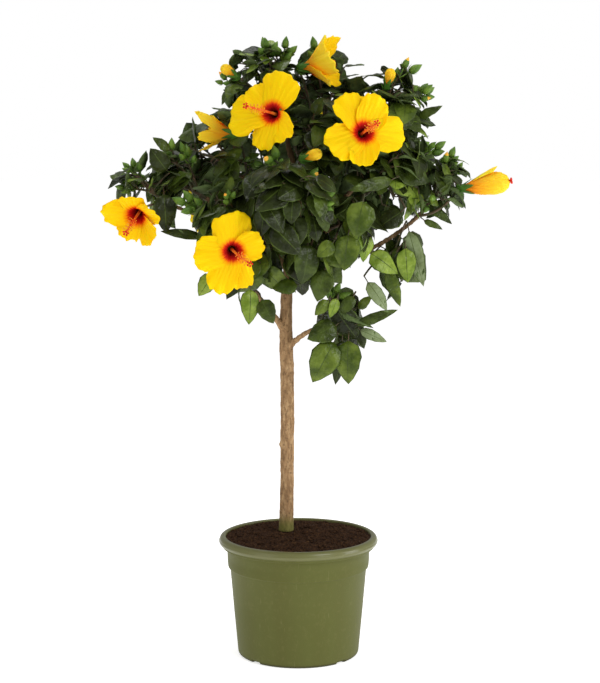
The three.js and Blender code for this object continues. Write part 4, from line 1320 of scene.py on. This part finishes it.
    def leaves_on(self, limb, first, size, tint):
        """Leaves a golden angle apart along one twig, the youngest and smallest near its tip. Gives
        the place of the last one, or 0 if none found room."""
        rng = self.rng
        spacing = LEAF["spacing"] * (1 + 0.35 * self.mature)
        count = max(2, round(limb.length() * (1 - first) / spacing))
        start, last = rng.uniform(0, 2 * math.pi), 0
        for i in range(count):
            t = lerp(first, 1, (i + 0.6) / count)
            spread = 1 + LEAF["spread"] * rng.uniform(-1, 1)
            youth = smoothstep(t, 0.72, 1.05) * 0.8 * (1 - self.mature)
            leaf_size = size * spread * lerp(1, 0.5, youth)
            if self.try_leaf(limb, t, start + i * GOLDEN, leaf_size, youth, tint):
                last = t
        return last

    def grow_side_shoot(self, twig, t, tint=None):
        """A short twig from t on another, cut where its leaves end. It has a tint of its own if none
        is given. Tells whether any leaf found room."""
        start, along = twig.place(t), twig.ahead(t)
        outward = unit(np.cross(along, self.rng.normal(size=3)))
        away = unit(along * 0.8 + outward + unit(start - SIDE_SHOOT["grows_from"]) * 0.5)
        length = self.rng.uniform(*SIDE_SHOOT["lengths"])
        tip = start + away * self.row["reach"] * SIDE_SHOOT["length"] * length
        side = bowed(start, tip, SIDE_SHOOT["lift"], SIDE_SHOOT["radius"], SIDE_SHOOT["tip_radius"])
        if not self.has_room(side.line[::4]):
            return False
        tint = self.pick_tint() if tint is None else tint
        last = self.leaves_on(side, SIDE_SHOOT["first"], self.size * SIDE_SHOOT["leaf"], tint)
        if last:
            self.twigs.append(side.cut(last))
        return bool(last)

    def grow_twig(self, root, target, kind, yellow):
        """A twig with its leaves and side shoots, cut where they end. It carries buds at its tip if
        it is a sprig, a furthest tip that grows upwards, or one of a few high ones."""
        rng = self.rng
        end = target + rng.uniform(-TWIG["scatter"], TWIG["scatter"], 3) * (kind == "spread")
        twig = bowed(root, end, TWIG["lift"], TWIG["radius"], TWIG["tip_radius"])
        if not self.has_room(twig.line[::4]):
            return
        tint = self.pick_tint()
        last = self.leaves_on(twig, TWIG["first"], self.size, tint)
        given = kind == "sprig" or (kind == "tip" and end[2] > root[2])
        budding = given or (end[2] > BUD["above"] and rng.uniform() < BUD["chance"])
        if budding:
            self.clusters.append((twig, given, yellow))
        for shoot in range(SIDE_SHOOT["count"]):
            t = lerp(*SIDE_SHOOT["roots"], (shoot + rng.uniform(0.2, 0.8)) / SIDE_SHOOT["count"])
            if self.grow_side_shoot(twig, t, tint if shoot else None):
                last = max(last, t)
        if budding or last:
            self.twigs.append(twig if budding else twig.cut(last))

    def grow(self):
        """The stem, the leaves on it, and a twig to each target from even places along it."""
        stem = self.stem()
        self.twigs.append(stem)
        self.add_near_leaves(stem)
        self.leaves_on(stem, 0.3, self.size, self.pick_tint())
        targets = self.targets()
        for k, target in enumerate(targets):
            self.grow_twig(stem.place(lerp(*TWIG["roots"], (k + 0.5) / len(targets))), *target)


def place_buds(clusters):
    """Buds as (foot, axis, size, ripeness) and stalks as (root, foot), spread from the tip of each
    cluster's twig. One that would meet a bloom or hide a near leaf is left out."""
    rng = np.random.default_rng(71)
    bodies, stalks = [], []
    for twig, given, yellow in clusters:
        tip, ahead = twig.place(1), twig.ahead(1)
        ahead = unit(ahead + [0, 0, 0.35])
        side = unit(np.cross(ahead, [0.3, 1.0, 0.1]))
        across = np.cross(side, ahead)
        count = int(rng.integers(4, 7)) if given else int(rng.integers(2, 5))
        for k in range(count):
            angle = k * GOLDEN + rng.uniform(0, 0.6)
            lean = 0.0 if k == 0 else rng.uniform(0.45, 0.95)
            axis = unit(ahead + (side * math.cos(angle) + across * math.sin(angle)) * lean)
            root = tip - twig.ahead(1) * (1.5 + 3.5 * k)
            size = rng.uniform(0.62, 1.0) * (1.0 if given else 0.85)
            foot = root + axis * BUD["stalk"] * size * rng.uniform(0.8, 1.3)
            ends = np.array([foot, foot + axis * BUD["length"] * size])
            if meets_bloom(ends) or hides_near_leaf(ends):
                continue
            stalks.append((root, foot))
            bodies.append((foot, axis, size, rng.uniform() + (yellow and k == 0)))
    return bodies, stalks


def add_buds(clusters):
    """Flower buds: pointed ovoids with five ridges, each on its stalk and in a ring of narrow
    bracts. A bud about to open shows yellow at its point."""
    bodies, stalks = place_buds(clusters)
    rings, sides = 8, BUD["sides"]
    t = np.linspace(0, 1, rings)[None]
    feet, axes, sizes, ripeness = (np.array(column) for column in zip(*bodies))
    sizes = sizes[:, None]
    paths = feet[:, None] + axes[:, None] * (t * BUD["length"] * sizes)[..., None]
    body = np.interp(t, *BUD_OUTLINE)
    places, polygons = tubes(paths, body * BUD["width"] / 2 * sizes, sides)
    ridge = 1 + BUD["ridge"] * (np.arange(sides) % 2)[None, None, :, None]
    places = paths[:, :, None] + (places - paths[:, :, None]) * ridge
    ripe = (ripeness > BUD["ripe"])[:, None, None] & (np.arange(rings - 1) >= BUD["ripe_from"])[:, None]
    wall = np.broadcast_to(ripe, (len(bodies), rings - 1, sides)).astype(int)
    shape = Shape()
    shape.add(places, polygons, [wall.ravel(), 0, 0])
    starts, ends = (np.array(column) for column in zip(*stalks))
    middle = (starts + ends) / 2 + [0, 0, -1]
    radii = np.full((len(stalks), 3), BUD["stalk_radius"])
    shape.add(*tubes(np.stack([starts, middle, ends], axis=1), radii, 5))
    turn = turns(BUD["bracts"])
    side = unit(np.cross(axes, [0.3, 1.0, 0.1]))
    across = np.cross(side, axes)
    outward = (side[:, None] * np.cos(turn)[None, :, None] + across[:, None] * np.sin(turn)[None, :, None])
    t = np.array([0, 0.5, 1])[None, None, :, None]
    size = sizes[:, :, None, None]
    paths = (feet[:, None, None] + outward[:, :, None] * size * (1.2 + 6.5 * t ** 0.7)
             + axes[:, None, None] * size * (8.5 * t ** 1.6 - 0.5))
    radii = np.tile([0.8, 0.75, 0.12], (len(bodies), BUD["bracts"], 1)) * sizes[:, :, None]
    shape.add(*tubes(paths.reshape(-1, 3, 3), radii.reshape(-1, 3), 3))
    shape.piece("buds", "foliage", [PAINTS["bud"], PAINTS["bud_tip"]])


LEAF_GROUPS = {
    "leaves_left": ("upper_left", "left", "far_left", "left_low", "front_left"),
    "leaves_middle": ("centre", "middle_right", "low_right", "lower_centre", "front_centre"),
    "leaves_right": ("right", "far_right", "right_low"),
    "leaves_top": ("top_left", "top", "top_right"),
    "leaves_back": ("back_low", "back_left", "back_centre", "back_right"),
}


def add_foliage():
    """Leaves of each part of the crown in a piece of their own, and all twigs and stalks in one."""
    twigs, clusters, wood = [], [], Shape()
    for group, members in LEAF_GROUPS.items():
        leaves = Leaves()
        for name in members:
            Mass(name, leaves, twigs, clusters).grow()
        leaf = leaves.arrays()
        shape = Shape()
        shape.add(*leaf_shape(leaf))
        nodes = [f"foliage_{name}" for name in members]
        shape.piece(group, "foliage", [PAINTS[tint] for tint in TINTS], nodes)
        middle = (leaf["root"] + leaf["foot"]) / 2 + [0, 0, 0.6]
        paths = np.stack([leaf["root"], middle, leaf["foot"] + leaf["ahead"] * 1.5], axis=1)
        wood.add(*tubes(paths, np.tile([0.85, 0.7, 0.75], (len(paths), 1)), 4))
    for twig in twigs:
        wood.add(*twig.tube(9, 6))
    wood.piece("twigs", "bark", [PAINTS["twig"]])
    add_buds(clusters)


# ------------------------------------------------------------------ pot and potting mix

def turned(profile, columns):
    """A profile of (radius, height) carried round the Z axis."""
    return around(profile[:, :1], turns(columns), profile[:, 1:])


def arc(centre, radii, first, last, steps):
    """Places on an ellipse about a centre, with angles in degrees from the outward direction."""
    angle = np.radians(np.linspace(first, last, steps))
    return np.stack([centre[0] + radii[0] * np.cos(angle), centre[1] + radii[1] * np.sin(angle)], axis=-1)


def add_pot():
    """The pot: its outside, rolled rim and inside as one profile carried round, with four notches
    where the foot ring is raised."""
    p, columns = POT, 240
    foot = p["base_radius"] - NOTCH["depth"]
    roll = (p["rim_radius"] - p["roll_width"], p["rim_top"] - p["roll_height"])
    parts = [
        [[0.01, 0], [foot - 1, 0], [foot, 0], [foot + 0.3, 0]],
        arc((p["base_radius"] - p["corner"], p["corner"]), (p["corner"], p["corner"]), -90, 0, 7),
        [[p["base_radius"] + 0.3, 8], [lerp(p["base_radius"], p["wall_radius"], 0.5), 61],
         [p["wall_radius"], p["wall_top"] - 1]],
        arc((p["step_radius"] - 2, p["step"] + 0.5), (2, 2.6), -75, 0, 6),
        [[p["collar_radius"] - 0.3, p["step"] + 8], [p["collar_radius"], p["neck"] - 2]],
        arc((p["bead_radius"] - 1, p["neck"] + 2), (1, 1.6), -90, 0, 5),
        [[p["bead_radius"], p["neck"] + 3.9]],
        arc(roll, (p["roll_width"], p["roll_height"]), -40, 0, 7),
        arc(roll, (p["roll_width"] - 0.5, p["roll_height"]), 6, 90, 12),
        arc((p["collar_radius"] + 3.6, p["rim_top"] - 1.6), (1.6, 1.6), 90, 180, 6),
        [[p["collar_radius"] + p["wall"], SOIL["edge"]], [p["collar_radius"] + p["wall"], p["neck"] + 6],
         [p["collar_radius"] - p["wall"], p["neck"]], [p["step_radius"] - p["wall"], p["step"] + 3],
         [p["wall_radius"] - p["wall"], p["wall_top"]], [p["base_radius"] - p["wall"], p["wall"] + 1],
         [0.01, p["wall"] + 1]],
    ]
    profile = np.concatenate([np.array(part, float) for part in parts])
    grid = turned(profile, columns)
    share = 2 * math.pi / NOTCH["count"]
    near = np.abs(turns(columns) % share - share / 2)
    notched = near * p["base_radius"] < NOTCH["width"] / 2
    outside = np.arange(len(profile)) < len(parts[0]) + len(parts[1])
    low = outside & (profile[:, 0] > foot + 0.1) & (profile[:, 1] < NOTCH["height"])
    grid[..., 2] = np.where(low[:, None] & notched, NOTCH["height"], grid[..., 2])
    shell = Shape().add(grid, barrel(len(profile), columns))
    shell.piece("pot_shell", "pot", [PAINTS["pot"]], ["pot"])


def add_soil():
    """The potting mix: a disc that rises to the trunk's foot, roughened by waves of three sizes,
    with a flat underside, and loose crumbs pressed into it."""
    rows, columns = 90, 300
    edge = POT["collar_radius"] + POT["wall"] - GAP
    radius = np.linspace(0.01, edge, rows)[:, None]
    height = lerp(SOIL["top"], SOIL["edge"], smoothstep(radius, SOIL["flat_radius"], edge)) - 1
    grid = around(radius, turns(columns), height)
    rough = sum(height * waves(grid, length, seed) for height, length, seed in LUMPS)
    grid[..., 2] += rough * (1 - 0.6 * smoothstep(radius, edge - 6, edge))
    under = SOIL["edge"] - 5
    grid = np.concatenate([grid, turned(np.array([[edge, under], [0.01, under]]), columns)])
    shape = Shape().add(grid, inside_out(barrel(rows + 2, columns)))
    rng = np.random.default_rng(9)
    count = CRUMBS["count"]
    away = edge * 0.97 * np.sqrt(rng.uniform(0.01, 1, count))
    turn = rng.uniform(0, 2 * math.pi, count)
    size = rng.uniform(*CRUMBS["sizes"], count)
    top = lerp(SOIL["top"], SOIL["edge"], smoothstep(away, SOIL["flat_radius"], edge)) - 0.6
    centres = around(away, turn, top)
    lying = unit(rng.normal(size=(count, 3)) * [1, 1, 0.35]) * rng.uniform(*CRUMBS["lengths"], (count, 1))
    shape.add(*balls(centres, size, lying, rings=4, sides=5))
    shape.piece("soil", "potting_mix", [PAINTS["potting_mix"]], ["potting_mix"])


# ------------------------------------------------------------------ studio

SURROUND = 0.42  # how bright the white surround is as a light

# Soft lights, in metres and watts: place, width and power. All of them look at the middle.
LIGHTS = {
    "key": ((1.5, -1.9, 1.9), 1.1, 27), "side": ((2.0, -0.3, 0.7), 0.8, 11),
    "fill": ((-2.0, -1.7, 1.3), 1.4, 8), "crown": ((-0.2, 0.4, 2.4), 1.2, 16),
}
MIDDLE = (0, 0, 0.5)
CAMERA = {"place": (0.0023, -2.6, 0.777), "dip": 7.454, "lens": 101.01}
FLOOR = [(-9, -6, 0), (9, -6, 0), (9, 14, 0), (-9, 14, 0)]


def add_floor(scene):
    """A plain pale floor that glows as much as keeps it white."""
    mesh = bpy.data.meshes.new("floor")
    mesh.from_pydata(FLOOR, [], [(0, 1, 2, 3)])
    floor = bpy.data.objects.new("floor", mesh)
    scene.collection.objects.link(floor)
    mesh.materials.append(Paint("floor", Base_Color=(0.95, 0.95, 0.95, 1), Roughness=0.9,
                                Emission_Color=(1, 1, 1, 1), Emission_Strength=1 - 0.9 * SURROUND).material)


def add_surround(scene):
    """An even white world, which the camera sees in full and which lights the plant more softly."""
    world = bpy.data.worlds.new("surround")
    world.use_nodes = True
    tree = world.node_tree
    seen = tree.nodes.new("ShaderNodeLightPath")
    level = tree.nodes.new("ShaderNodeMapRange")
    level.inputs["To Min"].default_value, level.inputs["To Max"].default_value = SURROUND, 1.0
    tree.links.new(seen.outputs["Is Camera Ray"], level.inputs["Value"])
    tree.links.new(level.outputs["Result"], tree.nodes["Background"].inputs["Strength"])
    tree.nodes["Background"].inputs["Color"].default_value = (1, 1, 1, 1)
    scene.world = world


def add_lights(scene):
    """Square soft lights, each turned to the middle."""
    for name, (place, size, power) in LIGHTS.items():
        light = bpy.data.lights.new(name, "AREA")
        light.size, light.energy = size, power
        lamp = bpy.data.objects.new(name, light)
        lamp.location = place
        aim = np.array(MIDDLE) - np.array(place)
        flat = math.hypot(aim[0], aim[1])
        lamp.rotation_euler = (math.atan2(flat, -aim[2]), 0, math.atan2(-aim[0], aim[1]))
        scene.collection.objects.link(lamp)


def add_camera(scene):
    """The camera in front and a little above, as for a plant seller's picture."""
    camera = bpy.data.objects.new("camera", bpy.data.cameras.new("camera"))
    camera.data.sensor_width, camera.data.lens = 36, CAMERA["lens"]
    camera.data.clip_start, camera.data.clip_end = 0.05, 50
    camera.location = CAMERA["place"]
    camera.rotation_euler = (math.radians(90 - CAMERA["dip"]), 0, 0)
    scene.collection.objects.link(camera)
    scene.camera = camera
    scene.view_settings.view_transform = "Standard"


def add_studio():
    """The floor, the surround, the lights and the camera."""
    for add in (add_floor, add_surround, add_lights, add_camera):
        add(bpy.context.scene)


add_studio()
add_pot()
add_soil()
add_limbs()
add_foliage()
add_blooms()
